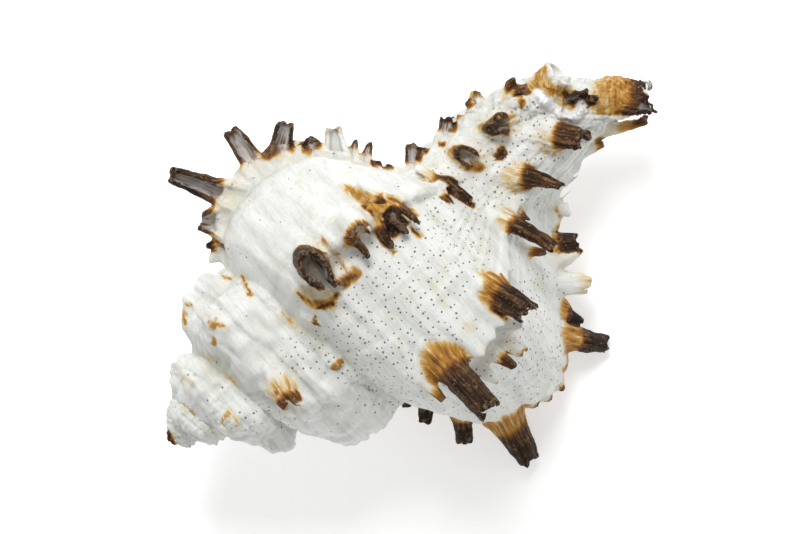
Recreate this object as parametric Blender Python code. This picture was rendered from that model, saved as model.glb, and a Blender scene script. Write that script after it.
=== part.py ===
"""Hexaplex murex shell, lying on its aperture, about 100 mm from apex to canal tip.

The shell is grown as the animal grows it: one profile is turned about the coiling axis while it gets
smaller towards the apex. Shapes are worked out in millimetres in the shell's own frame, and meshes are
written in metres: +X runs along the coiling axis from the apex to the siphonal canal, +Z points out of
the back of the shell, and the outer lip is on the -Y side.

Growth angle t is in degrees and gets smaller towards the apex. A place on the shell at growth angle t
lies in the half plane that is turned -t degrees about the axis from -Y, over the back, so the lip is a
little under -Y.
"""

import math

import bmesh
import bpy
import numpy as np
from mathutils import Matrix

MM = 0.001

# Growth
GROWTH_PER_TURN = 1.75  # how much larger each whorl is than the one before
LOST_TIP = 3.9          # distance from the point that the coil shrinks to, up to the worn apex
FIRST_ANGLE = -1440     # where the sweep starts, four turns back
LIP_ANGLE = 15          # where it ends
GROWTH_STEP = 7.5

# Profile of the last whorl from its suture to the canal tip: (radius, distance from the coil's point)
PROFILE = (
    (12.5, 34.4), (18.4, 37.4), (23.6, 40.0), (29.2, 43.0), (32.2, 46.8), (33.8, 52.5), (34.2, 57.5),
    (32.4, 61.5), (28.4, 64.8), (22.6, 68.6), (17.4, 72.2), (12.8, 77.2), (9.6, 82.5), (7.6, 87.5),
    (5.0, 91.5), (1.0, 94.0),
)
SHOULDER_SLOPE = (38, 46)   # distances between which varices and cords grow up
CORDS_FADE = (80, 92)       # and between which the cords fade on the canal
OLDER_STRETCH = 5.0         # earlier lips reached this much further towards the canal,
OLDER_WITHIN = 120          # all of it from this many degrees back,
STRETCHED = (57, 64)        # beyond the shoulder
PAST_AXIS = 2.0         # each section reaches this far over the axis, so that turns overlap
# How much wider than the growth law the older whorls are: (growth angle, factor)
SWELL = ((-1440, 0.9), (-1080, 0.92), (-900, 1.12), (-540, 1.12), (-360, 1.07), (-305, 1.0))

# Varices, the ribs that were once the lip: growth angles, last whorl first, then one every 60 degrees
LAST_VARICES = (LIP_ANGLE, -50, -104, -175, -238, -300)
VARIX_SPACING = 60
VARIX_RISE = 32         # degrees of slow swelling before a crest
VARIX_FALL = 9          # degrees of steep fall after it
BETWEEN_VARICES = 0.90  # radius between two varices as a share of the radius at a crest

# Siphonal canal: (along the axis, towards the lip, up, radius)
CANAL = (
    (50.0, -0.4, 0.0, 5.4), (60.0, -1.0, 0.0, 8.4), (72.0, -1.2, 0.3, 8.8), (79.0, 0.4, 0.8, 7.9),
    (84.1, 1.4, 1.3, 6.3), (88.6, 2.1, 1.8, 4.8), (91.8, 3.1, 2.4, 3.9), (94.8, 5.0, 2.9, 3.5),
    (98.4, 7.7, 3.4, 3.3),
)
# The end of the canal that was given up when the shell grew on
OLD_CANAL = ((72.0, -4.0, 2.6, 5.6), (80.0, -5.2, 4.0, 4.8), (85.2, -4.6, 5.6, 3.5), (89.2, -5.2, 7.0, 2.9))

# Aperture and the living chamber behind it, at the scale of the lip
MOUTH_RADIUS = 18.2       # radius of the chamber's middle about the coiling axis
MOUTH_ALONG = 55.0        # distance of its middle from the coil's point
MOUTH_HALF_WIDTH = 9.6
MOUTH_HALF_LENGTH = 13.2
CHAMBER_START = 24        # degrees past the lip where its cutter starts, in the open
CHAMBER_END = -215        # where the chamber ends, two thirds of a turn back
CHAMBER_SIDES = 14
CHAMBER_STEP = 14.6
# Middle of the open slit that leads from the aperture along the canal: (along the axis, towards the lip, up)
GROOVE = (
    (58.0, 16.0, -3.4), (65.0, 10.5, -1.6), (72.0, 4.6, 0.2), (80.0, 1.0, 0.8), (86.5, 1.8, 1.4),
    (91.8, 3.1, 2.4), (94.8, 5.0, 2.9), (98.4, 7.7, 3.4), (102.5, 11.0, 4.0),
)
GROOVE_HALF_WIDTH = 1.7
GROOVE_BOTTOM = -16.0     # well below the canal

# Fronds, the open spines on the varices. Each is (along the axis in mm from the apex, length, width, lean
# towards the canal in degrees), and some have a tip in the direction of growth of their own. The rows are
# named after where they are seen from above.
LIP_FRONDS = (
    (34.7, 3.2, 2.6, -19), (36.5, 4.0, 3.0, -32), (39.9, 4.8, 3.8, -34), (44.8, 12.5, 5.0, -8, 6),
    (49.3, 2.5, 2.6, -34), (51.7, 2.8, 2.6, -19), (54.9, 2.0, 2.6, 19), (60.7, 9.0, 4.2, 42, 26),
    (63.0, 4.6, 2.8, 36), (66.2, 5.6, 3.2, 46), (68.4, 5.0, 2.6, 58), (71.6, 3.0, 2.8, 34),
    (74.8, 1.8, 2.4, 45),
)
FRONT_FRONDS = (
    (36.3, 4.5, 3.0, 28), (42.7, 12.0, 5.0, 1), (45.0, 6.0, 3.2, 26), (49.6, 6.2, 3.2, 10),
    (52.2, 5.6, 3.2, 21), (58.1, 7.5, 4.8, 13), (63.3, 4.5, 2.6, 46), (66.8, 9.0, 3.8, 21),
    (73.4, 6.5, 3.8, 36),
)
BACK_FRONDS = (
    (36.8, 7.5, 6.6, 0), (41.5, 3.4, 3.2, 5), (45.6, 6.0, 4.6, 8), (48.6, 4.2, 3.2, 12),
    (52.6, 10.5, 7.4, 22), (57.0, 3.4, 2.8, 26), (62.2, 9.0, 4.6, 40), (68.6, 5.0, 4.4, 45),
)
FAR_FRONDS = (
    (27.6, 2.4, 2.6, -54), (30.0, 4.0, 4.6, -56), (33.0, 11.0, 4.4, -26), (39.8, 8.2, 3.6, 5),
    (43.4, 1.6, 2.6, 16), (46.1, 5.3, 3.4, 37), (49.1, 2.0, 2.6, 30), (51.1, 5.0, 3.8, 40),
    (54.0, 3.9, 2.8, 46), (59.6, 3.4, 2.8, 42),
)
UNDER_FRONDS = (
    (27.5, 3.0, 4.4, -18), (31.6, 4.2, 4.8, -4), (36.0, 3.2, 3.6, 8), (40.0, 3.6, 3.6, 15),
    (44.5, 10.0, 4.8, 22), (50.5, 4.4, 3.4, 40),
)
INNER_FRONDS = ((22.6, 2.0, 3.8, -15), (26.4, 2.6, 4.4, 0), (31.4, 2.2, 3.6, 15), (36.4, 2.4, 3.4, 30))
ROWS = (LIP_FRONDS, FRONT_FRONDS, BACK_FRONDS, FAR_FRONDS, UNDER_FRONDS, INNER_FRONDS)
# Fronds that stand on the canal: (row angle, along the axis, length, width, lean)
CANAL_FRONDS = (
    (-78, 80.8, 7.0, 3.8, 36), (-97, 86.2, 6.0, 3.2, 50), (0, 85.6, 2.4, 2.6, 52),
    (0, 90.5, 3.6, 2.8, 60), (-112, 68.8, 4.0, 4.0, 45), (-118, 72.8, 2.6, 2.6, 45),
    (-118, 76.5, 5.4, 4.4, 48), (-125, 82.5, 3.4, 3.2, 52), (-175, 67.4, 3.4, 2.8, 36),
    (-175, 74.6, 1.8, 2.6, 40), (-238, 64.0, 3.6, 3.2, 45), (-238, 71.0, 3.0, 2.8, 50),
)
FROND_WALL = 1.3
THINNEST_BORE = 0.25    # radius of a frond's channel where its walls would meet
FROND_SUNK = 2.0        # how deep a frond starts in the whorl
FROND_FORWARD = 16      # degrees that a frond tips in the direction of growth
FROND_OPENING = 65      # half of the angle left open in a frond's channel, degrees
FROND_FLARE = 1.25      # width at the base and at the tip, as shares of the width given
FROND_TAPER = 0.85
FROND_CURL = 0.12       # how far the tip bends in the direction of growth, as a share of the length
FROND_STATIONS = (0, 0.2, 0.45, 0.75, 1.0)
KNOB_LENGTH = 3.4       # the worn stubs on the spire, at the scale of the lip
KNOB_WIDTH = 5.2
SMALLEST_KNOB = 0.25    # growth scale where they are worn away
KNOB_PLACES = (0.14, 0.34, 0.62)  # shares of the way from the suture to the canal

# Spiral cords, strongest where they make the crests wavy
CORDS = 9
CORD_HEIGHT = 0.7
CORD_BETWEEN = 0.25     # height between two varices, as a share of that

# How the shell lies on two underside fronds and one at the lip: degrees about the axis, then nose down
REST_ROLL = 7.5
REST_PITCH = 5.75
FOOT_TRIM = 0.8        # worn flat where it touches the table
TABLE_CUTTER = 300

# Mesh
VOXEL = 0.55
TRIANGLES = 7400


def smooth_step(x, start, end):
    """0 before start and 1 after end, with soft corners."""
    share = np.clip((x - start) / (end - start), 0, 1)
    return share * share * (3 - 2 * share)


def spline(points, count):
    """Points along a Catmull-Rom curve through the given ones, spaced by the square root of distance."""
    points = np.asarray(points, float)
    steps = np.linalg.norm(np.diff(points, axis=0), axis=1) ** 0.5
    knots = np.r_[0, np.cumsum(steps)]
    slopes = np.gradient(points, knots, axis=0)
    places = np.linspace(0, knots[-1], count)
    cell = np.clip(np.searchsorted(knots, places, side="right") - 1, 0, len(points) - 2)
    width = (knots[cell + 1] - knots[cell])[:, None]
    x = (places - knots[cell])[:, None] / width
    start = (1 + 2 * x) * (1 - x) ** 2 * points[cell] + x * (1 - x) ** 2 * width * slopes[cell]
    end = x * x * (3 - 2 * x) * points[cell + 1] + x * x * (x - 1) * width * slopes[cell + 1]
    return start + end


def growth_scale(t):
    return GROWTH_PER_TURN ** (t / 360)


def varix_angles():
    """Growth angles of all varices, from the lip back to the apex."""
    angles = list(LAST_VARICES)
    while angles[-1] > FIRST_ANGLE:
        angles.append(angles[-1] - VARIX_SPACING)
    return angles


def crest(t):
    """How near growth angle t is to a varix: 0 between two of them, 1 on a crest."""
    height = 0.0
    for angle in varix_angles():
        away = t - angle
        if away <= 0:
            height = max(height, smooth_step(away, -VARIX_RISE, 0) ** 1.5)
        else:
            height = max(height, 1 - smooth_step(away, 1, VARIX_FALL))
    return float(height)


def section(t, count=40):
    """(radius, along the axis) of the whorl's outside at growth angle t, from suture to canal."""
    points = spline(PROFILE, count)
    radius, along = points[:, 0].copy(), points[:, 1].copy()
    height = crest(t)
    on_whorl = smooth_step(along, *SHOULDER_SLOPE)
    radius *= 1 - (1 - BETWEEN_VARICES) * (1 - height) * on_whorl
    waves = np.linspace(0, CORDS, count) % 1
    on_cords = on_whorl * (1 - smooth_step(along, *CORDS_FADE))
    radius += CORD_HEIGHT * np.sin(np.pi * waves) * (CORD_BETWEEN + (1 - CORD_BETWEEN) * height) * on_cords
    older = smooth_step(-t, 0, OLDER_WITHIN)
    along += OLDER_STRETCH * older * smooth_step(along, *STRETCHED)
    angles, factors = zip(*SWELL)
    scale = growth_scale(t)
    return radius * scale * np.interp(t, angles, factors), along * scale - LOST_TIP


def turned(radius, along, t):
    """The points of a section, in the shell's frame."""
    angle = math.radians(-t)
    return np.stack([along + 0 * radius, -radius * math.cos(angle), radius * math.sin(angle)], axis=-1)


def add_sweep(shape, rings):
    """Adds a closed tube through rings of points, capped at both ends."""
    loops = [[shape.verts.new(point * MM) for point in ring] for ring in rings]
    for first, second in zip(loops, loops[1:]):
        for i in range(len(first)):
            j = (i + 1) % len(first)
            shape.faces.new((first[i], second[i], second[j], first[j]))
    shape.faces.new(loops[0])
    shape.faces.new(loops[-1][::-1])


def whorl_rings():
    rings = []
    for t in np.arange(FIRST_ANGLE, LIP_ANGLE + GROWTH_STEP / 2, GROWTH_STEP):
        radius, along = section(t)
        over = -PAST_AXIS * growth_scale(t)
        radius = np.r_[over, radius, over]
        along = np.r_[along[0], along, along[-1]]
        rings.append(turned(radius, along, t))
    return rings


def pipe_rings(stations, sides=14, count=12):
    """Rings around a bent pipe, from (along the axis, towards the lip, up, radius) stations."""
    path = spline([(x, -lip, up, radius) for x, lip, up, radius in stations], count)
    centres, radii = path[:, :3], path[:, 3]
    ahead = np.gradient(centres, axis=0)
    rings = []
    for centre, direction, radius in zip(centres, ahead, radii):
        direction = direction / np.linalg.norm(direction)
        side = np.cross((0, 0, 1), direction)
        side /= np.linalg.norm(side)
        up = np.cross(direction, side)
        angles = np.linspace(0, 2 * np.pi, sides, endpoint=False)
        rings.append(centre + radius * (np.outer(np.cos(angles), side) + np.outer(np.sin(angles), up)))
    return rings


def surface_radius(t, along):
    """Radius of the whorl's outside at growth angle t, this far along the axis."""
    radius, place = section(t, 160)
    widest = int(np.argmax(radius))
    if along < place[widest]:
        return float(np.interp(along, place[: widest + 1], radius[: widest + 1]))
    return float(np.interp(along, place[widest:], radius[widest:]))


def canal_radius(along, t):
    """Distance from the axis to the outside of the canal, in the half plane of growth angle t."""
    stations = np.array(CANAL)
    lip, up, radius = (np.interp(along, stations[:, 0], stations[:, i]) for i in (1, 2, 3))
    angle = math.radians(-t)
    return lip * math.cos(angle) + up * math.sin(angle) + radius


def frond_rings(t, along, radius, length, width, lean, forward_tip=FROND_FORWARD):
    """Rings of an open half tube that stands on the shell and is hollow towards the growing side."""
    angle = math.radians(-t)
    out = np.array([0, -math.cos(angle), math.sin(angle)])
    forward = np.array([0, -math.sin(angle), -math.cos(angle)])
    axis = np.array([1.0, 0, 0])
    tip, tilt = math.radians(forward_tip), math.radians(lean)
    direction = out * math.cos(tilt) * math.cos(tip) + axis * math.sin(tilt) + forward * math.sin(tip)
    direction /= np.linalg.norm(direction)
    hollow = forward - direction * forward.dot(direction)
    hollow /= np.linalg.norm(hollow)
    side = np.cross(direction, hollow)
    base = np.array([along, 0, 0]) + out * radius - direction * FROND_SUNK
    open_angle = math.radians(180 - FROND_OPENING)
    arc = np.linspace(-open_angle, open_angle, 9)
    rings = []
    for share in FROND_STATIONS:
        outer = width / 2 * (FROND_FLARE + (FROND_TAPER - FROND_FLARE) * share)
        inner = max(outer - FROND_WALL, THINNEST_BORE)
        centre = base + direction * share * (length + FROND_SUNK) + hollow * FROND_CURL * length * share ** 2
        back = [(-math.cos(a) * outer, math.sin(a) * outer) for a in arc]
        front = [(-math.cos(a) * inner, math.sin(a) * inner) for a in arc[::-1]]
        rings.append(np.array([centre + hollow * h + side * s for h, s in back + front]))
    return rings


def add_fronds(shape):
    for t, fronds in zip(LAST_VARICES, ROWS):
        for along, *frond in fronds:
            add_sweep(shape, frond_rings(t, along, surface_radius(t, along), *frond))
    for t, along, *frond in CANAL_FRONDS:
        add_sweep(shape, frond_rings(t, along, canal_radius(along, t), *frond))
    for t in varix_angles()[len(LAST_VARICES):]:
        scale = growth_scale(t)
        if scale < SMALLEST_KNOB:
            break
        radius, along = section(t)
        for share in KNOB_PLACES:
            place = int(share * len(radius))
            rings = frond_rings(t, along[place], radius[place], KNOB_LENGTH * scale, KNOB_WIDTH * scale, 0)
            add_sweep(shape, rings)


def chamber_rings():
    rings = []
    angles = np.linspace(0, 2 * np.pi, CHAMBER_SIDES, endpoint=False)
    for t in np.arange(LIP_ANGLE + CHAMBER_START, CHAMBER_END, -CHAMBER_STEP):
        scale = growth_scale(min(t, LIP_ANGLE))
        radius = (MOUTH_RADIUS + MOUTH_HALF_WIDTH * np.cos(angles)) * scale
        along = (MOUTH_ALONG + MOUTH_HALF_LENGTH * np.sin(angles)) * scale - LOST_TIP
        rings.append(turned(radius, along, t))
    return rings


def groove_rings():
    """Rings of the cutter for the slit under the canal: round at the top, open at the bottom."""
    half = GROOVE_HALF_WIDTH
    arch = [(half * math.cos(a), half * math.sin(a)) for a in np.linspace(0, np.pi, 7)]
    rings = []
    for x, lip, up in spline(GROOVE, 16):
        outline = [(half, GROOVE_BOTTOM - up)] + arch + [(-half, GROOVE_BOTTOM - up)]
        rings.append(np.array([(x, -lip + side, up + z) for side, z in outline]))
    return rings


def new_object(name, shape):
    mesh = bpy.data.meshes.new(name)
    bmesh.ops.recalc_face_normals(shape, faces=shape.faces)
    shape.to_mesh(mesh)
    shape.free()
    made = bpy.data.objects.new(name, mesh)
    bpy.context.scene.collection.objects.link(made)
    return made


def new_cutter(name, shape):
    cutter = new_object(name, shape)
    cutter.hide_render = True
    cutter.display_type = "WIRE"
    return cutter


def evaluated_mesh(source):
    """The mesh of an object with its modifiers carried out."""
    bpy.context.view_layer.update()
    graph = bpy.context.evaluated_depsgraph_get()
    return bpy.data.meshes.new_from_object(source.evaluated_get(graph))


def corners(mesh):
    points = np.array([vertex.co[:] for vertex in mesh.vertices])
    return points.min(axis=0), points.max(axis=0)


def shell_material():
    material = bpy.data.materials.new("shell")
    material.use_nodes = True
    finish = material.node_tree.nodes["Principled BSDF"]
    finish.inputs["Base Color"].default_value = (0.80, 0.77, 0.70, 1)
    finish.inputs["Roughness"].default_value = 0.55
    finish.inputs["Metallic"].default_value = 0
    return material


def keep_largest(mesh):
    """Removes every loose scrap from the mesh, so that one body is left."""
    shape = bmesh.new()
    shape.from_mesh(mesh)
    unseen = set(shape.verts)
    bodies = []
    while unseen:
        front = [unseen.pop()]
        body = set(front)
        while front:
            vertex = front.pop()
            near = {edge.other_vert(vertex) for edge in vertex.link_edges} - body
            body |= near
            front.extend(near)
        unseen -= body
        bodies.append(body)
    bodies.sort(key=len)
    for body in bodies[:-1]:
        bmesh.ops.delete(shape, geom=list(body), context="VERTS")
    shape.to_mesh(mesh)
    shape.free()
    return mesh


def fused_body():
    """All that the shell grew, fused to one skin and thinned to few triangles, before it is hollowed."""
    shape = bmesh.new()
    add_sweep(shape, whorl_rings())
    add_sweep(shape, pipe_rings(CANAL))
    add_sweep(shape, pipe_rings(OLD_CANAL))
    add_fronds(shape)
    body = new_object("shell", shape)
    remesh = body.modifiers.new("fuse", "REMESH")
    remesh.mode = "VOXEL"
    remesh.voxel_size = VOXEL * MM
    mesh = keep_largest(evaluated_mesh(body))
    body.modifiers.clear()
    body.data = mesh
    thin = body.modifiers.new("thin", "DECIMATE")
    thin.ratio = TRIANGLES / (2 * len(mesh.polygons))
    body.data = keep_largest(evaluated_mesh(body))
    body.modifiers.clear()
    return body


def cut(body, name, cutter):
    boolean = body.modifiers.new(name, "BOOLEAN")
    boolean.operation = "DIFFERENCE"
    boolean.solver = "EXACT"
    boolean.object = cutter


def main():
    for old in list(bpy.data.objects):
        bpy.data.objects.remove(old)
    body = fused_body()
    chamber = bmesh.new()
    add_sweep(chamber, chamber_rings())
    groove = bmesh.new()
    add_sweep(groove, groove_rings())
    cutters = [new_cutter("chamber", chamber), new_cutter("groove", groove)]

    # Lay it down with its bottom centre at the origin, a little into the table
    lie = Matrix.Rotation(math.radians(REST_PITCH), 4, "Y") @ Matrix.Rotation(math.radians(REST_ROLL), 4, "X")
    for made in [body] + cutters:
        made.data.transform(lie)
    low, high = corners(body.data)
    middle = (low + high) / 2
    shift = Matrix.Translation((-middle[0], -middle[1], -low[2] - FOOT_TRIM * MM))
    for made in [body] + cutters:
        made.data.transform(shift)

    table = bmesh.new()
    below = Matrix.Translation((0, 0, -TABLE_CUTTER / 2 * MM))
    bmesh.ops.create_cube(table, size=TABLE_CUTTER * MM, matrix=below)
    cutters.append(new_cutter("table", table))
    for cutter in cutters:
        cut(body, "cut " + cutter.name, cutter)
    body.data.materials.append(shell_material())


main()
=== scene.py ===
"""Looks of the hexaplex murex shell.

The shell is grown again, finer than in the CAD solid: the whorls, the canal and every frond are swept as
closed meshes, fused as level sets with soft joins, hollowed, skinned and thinned. Its colours follow
from where a point lies on the shell: along a frond, in a hollow, where shade is painted in, on a whorl.

Shapes are in millimetres in the shell's own frame, as in the CAD source: +X runs along the coiling axis
from the apex to the siphonal canal, +Z points out of the back, and the outer lip is on the -Y side.
Growth angle t is in degrees and gets smaller towards the apex. What the photograph shows is placed by
its pixels.
"""

import math

import bpy
import numpy as np
import openvdb
from mathutils import Matrix, Vector

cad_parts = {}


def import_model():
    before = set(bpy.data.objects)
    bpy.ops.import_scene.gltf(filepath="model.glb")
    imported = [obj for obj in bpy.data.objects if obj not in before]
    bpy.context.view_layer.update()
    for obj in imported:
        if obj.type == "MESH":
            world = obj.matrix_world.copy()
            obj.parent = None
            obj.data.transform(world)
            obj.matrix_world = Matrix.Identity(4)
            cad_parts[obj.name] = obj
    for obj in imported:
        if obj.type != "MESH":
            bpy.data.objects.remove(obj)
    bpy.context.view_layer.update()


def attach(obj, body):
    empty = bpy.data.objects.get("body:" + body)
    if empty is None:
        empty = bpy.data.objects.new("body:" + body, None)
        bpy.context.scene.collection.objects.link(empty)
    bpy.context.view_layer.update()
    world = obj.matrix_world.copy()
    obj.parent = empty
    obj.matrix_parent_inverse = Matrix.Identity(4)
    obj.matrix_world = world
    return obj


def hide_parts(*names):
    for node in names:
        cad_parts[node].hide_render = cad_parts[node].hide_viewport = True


MM = 0.001
UP = np.array([0, 0, 1.0])     # out of the back

# How the shell lies: turned about its axis, then nose down, then moved, as the CAD solid was
REST_ROLL = 7.5
REST_PITCH = 5.75
REST_SHIFT = (-49.89, 4.35, 25.02)

# The photograph: pixels per millimetre, where the apex end of the axis is, and how far the axis climbs
PHOTO_SCALE = 6.0
PHOTO_APEX = (170.0, 440.0)
PHOTO_CLIMB = 40.0
PHOTO_SIZE = (800, 534)

# The camera looks into the shell's own -Z at a point this high, from a distance in metres
PHOTO_MIDDLE_HEIGHT = 12.0
CAMERA_DISTANCE = 1.3
SENSOR = 36.0

# Volume in which the shell is fused
VOXEL = 0.3
BAND = 6                       # voxels on each side of a surface that hold its distance
ROOM = ((-4.0, 106.0), (-48.0, 40.0), (-31.0, 38.0))
GRID_LOW = tuple(math.floor(low / VOXEL) for low, _ in ROOM)
GRID_SHAPE = tuple(math.ceil((high - low) / VOXEL) for low, high in ROOM)
TRIANGLES = 196000
NOISE_CELLS = 32               # after which noise repeats

# Widths of the fillets where pieces join, and of the rounded edges where hollows open
CANAL_JOIN = 2.5
FROND_JOIN = 1.0
CHAMBER_EDGE = 0.6
BORE_EDGE = 0.3

# Growth: size for each turn, what the worn apex lacks of the coil, and the first and last growth angle
GROWTH_PER_TURN = 1.75
LOST_TIP = 3.9
FIRST_ANGLE = -1440
LIP_ANGLE = 15
GROWTH_STEP = 1.0
SECTION_POINTS = 240
# Outside of the whorl at the lip: (radius, along the axis)
PROFILE = (
    (12.5, 34.4), (18.4, 37.4), (23.6, 40.0), (29.2, 43.0), (32.2, 46.8), (33.8, 52.5), (34.2, 57.5),
    (32.4, 61.5), (28.4, 64.8), (22.2, 68.6), (15.8, 72.4), (10.8, 77.2), (8.8, 82.5), (7.4, 87.5),
    (5.0, 91.5), (1.0, 94.0),
)
PAST_AXIS = 2.0                # how far the closing sides of a section go past the axis
# Behind the lip the canal end of the profile moves along the axis: how far, between which places along the
# axis the move sets in, and within how many degrees
OLDER_STRETCH = 5.0
STRETCHED = (57, 64)
OLDER_WITHIN = 120
# How much wider than the growth law the older whorls are: (growth angle, factor)
SWELL = (
    (-1440, 0.9), (-1080, 0.92), (-900, 1.12), (-810, 1.17), (-720, 1.12), (-540, 1.12), (-450, 1.19),
    (-360, 1.07), (-305, 1.0), (15, 1.0),
)

# Varices: angles of the last ones, the spacing of those before, the degrees over which one rises, falls,
# and falls more where it is worn, the share of the width between two, and the one on the far side
LAST_VARICES = (LIP_ANGLE, -50, -104, -175, -238, -300)
VARIX_SPACING = 60
VARIX_RISE = 34
VARIX_FALL = 4.5
VARIX_TOP = 0.6                # degrees before the fall begins
VARIX_CURVE = 1.5              # of the rise
WORN_FALL = 20
BETWEEN_VARICES = 0.90
FAR_VARIX = -175
# Degrees back from growth angle 0 between which varices and whorls get worn
WORN_VARICES = (310, 420)
WORN_WHORLS = (330, 420)

# Spiral cords and threads: how many, how high, how much of that is left between varices, and how much
# more of it the worn whorls have
CORDS = 9
CORD_HEIGHT = 0.75
CORD_BETWEEN = 0.22
OLD_CORDS = 1.0
THREADS = 27
THREAD_HEIGHT = 0.5
THREAD_BETWEEN = 0.15
# Places along the axis between which varices and cords begin at the shoulder, and where cords end
SHOULDER_SLOPE = (38, 46)
CORDS_FADE = (80, 92)

# Siphonal canal and the older one beside it: (along the axis, towards the lip, up, radius)
CANAL = (
    (50.0, -0.4, 0.0, 5.4), (60.0, -1.0, 0.0, 8.4), (72.0, -1.2, 0.3, 8.8), (79.0, 0.4, 0.8, 7.9),
    (84.1, 1.4, 1.3, 6.3), (88.6, 2.1, 1.8, 4.8), (91.8, 3.1, 2.4, 3.7), (94.8, 5.0, 2.9, 3.1),
    (98.4, 7.7, 3.4, 2.9),
)
OLD_CANAL = ((72.0, -4.0, 2.6, 5.6), (80.0, -5.2, 4.0, 4.8), (85.2, -4.6, 5.6, 3.5), (89.2, -5.2, 7.0, 2.9))
APEX = ((5.0, 0.0, 0.0, 2.6), (2.6, 0.0, 0.2, 2.1), (0.9, -0.1, 0.4, 1.5), (-0.4, -0.2, 0.5, 0.8))
# The hollows in the ends of the two canals, and how wide they are as a share of the pipe
CANAL_BORE = CANAL[5:] + ((101.5, 10.4, 3.8, 2.9),)
OLD_BORE = ((87.4, -4.8, 6.3, 2.9), OLD_CANAL[-1], (91.5, -5.6, 7.8, 2.9))
BORE_SHARE = 0.66

# Chamber: an oval that starts past the lip, flares at it, narrows on its way back and leaves a wall
MOUTH_RADIUS = 18.6
MOUTH_ALONG = 55.0
MOUTH_HALF_WIDTH = 11.2
MOUTH_HALF_LENGTH = 13.8
MOUTH_FLARE = 0.06
MOUTH_SIDES = 48
CHAMBER_START = 26
CHAMBER_END = -300
CHAMBER_STEP = 4.0
CHAMBER_NARROWS = 0.12
NARROWS_WITHIN = 60
WALL = 1.3
# The slit under the canal: (along the axis, towards the lip, up)
GROOVE = (
    (58.0, 16.0, -3.4), (65.0, 10.5, -1.6), (72.0, 4.6, 0.2), (80.0, 1.0, 0.8), (86.5, 1.8, 1.4),
    (91.8, 3.1, 2.4), (94.8, 5.0, 2.9), (98.4, 7.7, 3.4), (102.5, 11.0, 4.0),
)
GROOVE_HALF_WIDTH = 1.5
GROOVE_BOTTOM = -18.0

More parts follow.
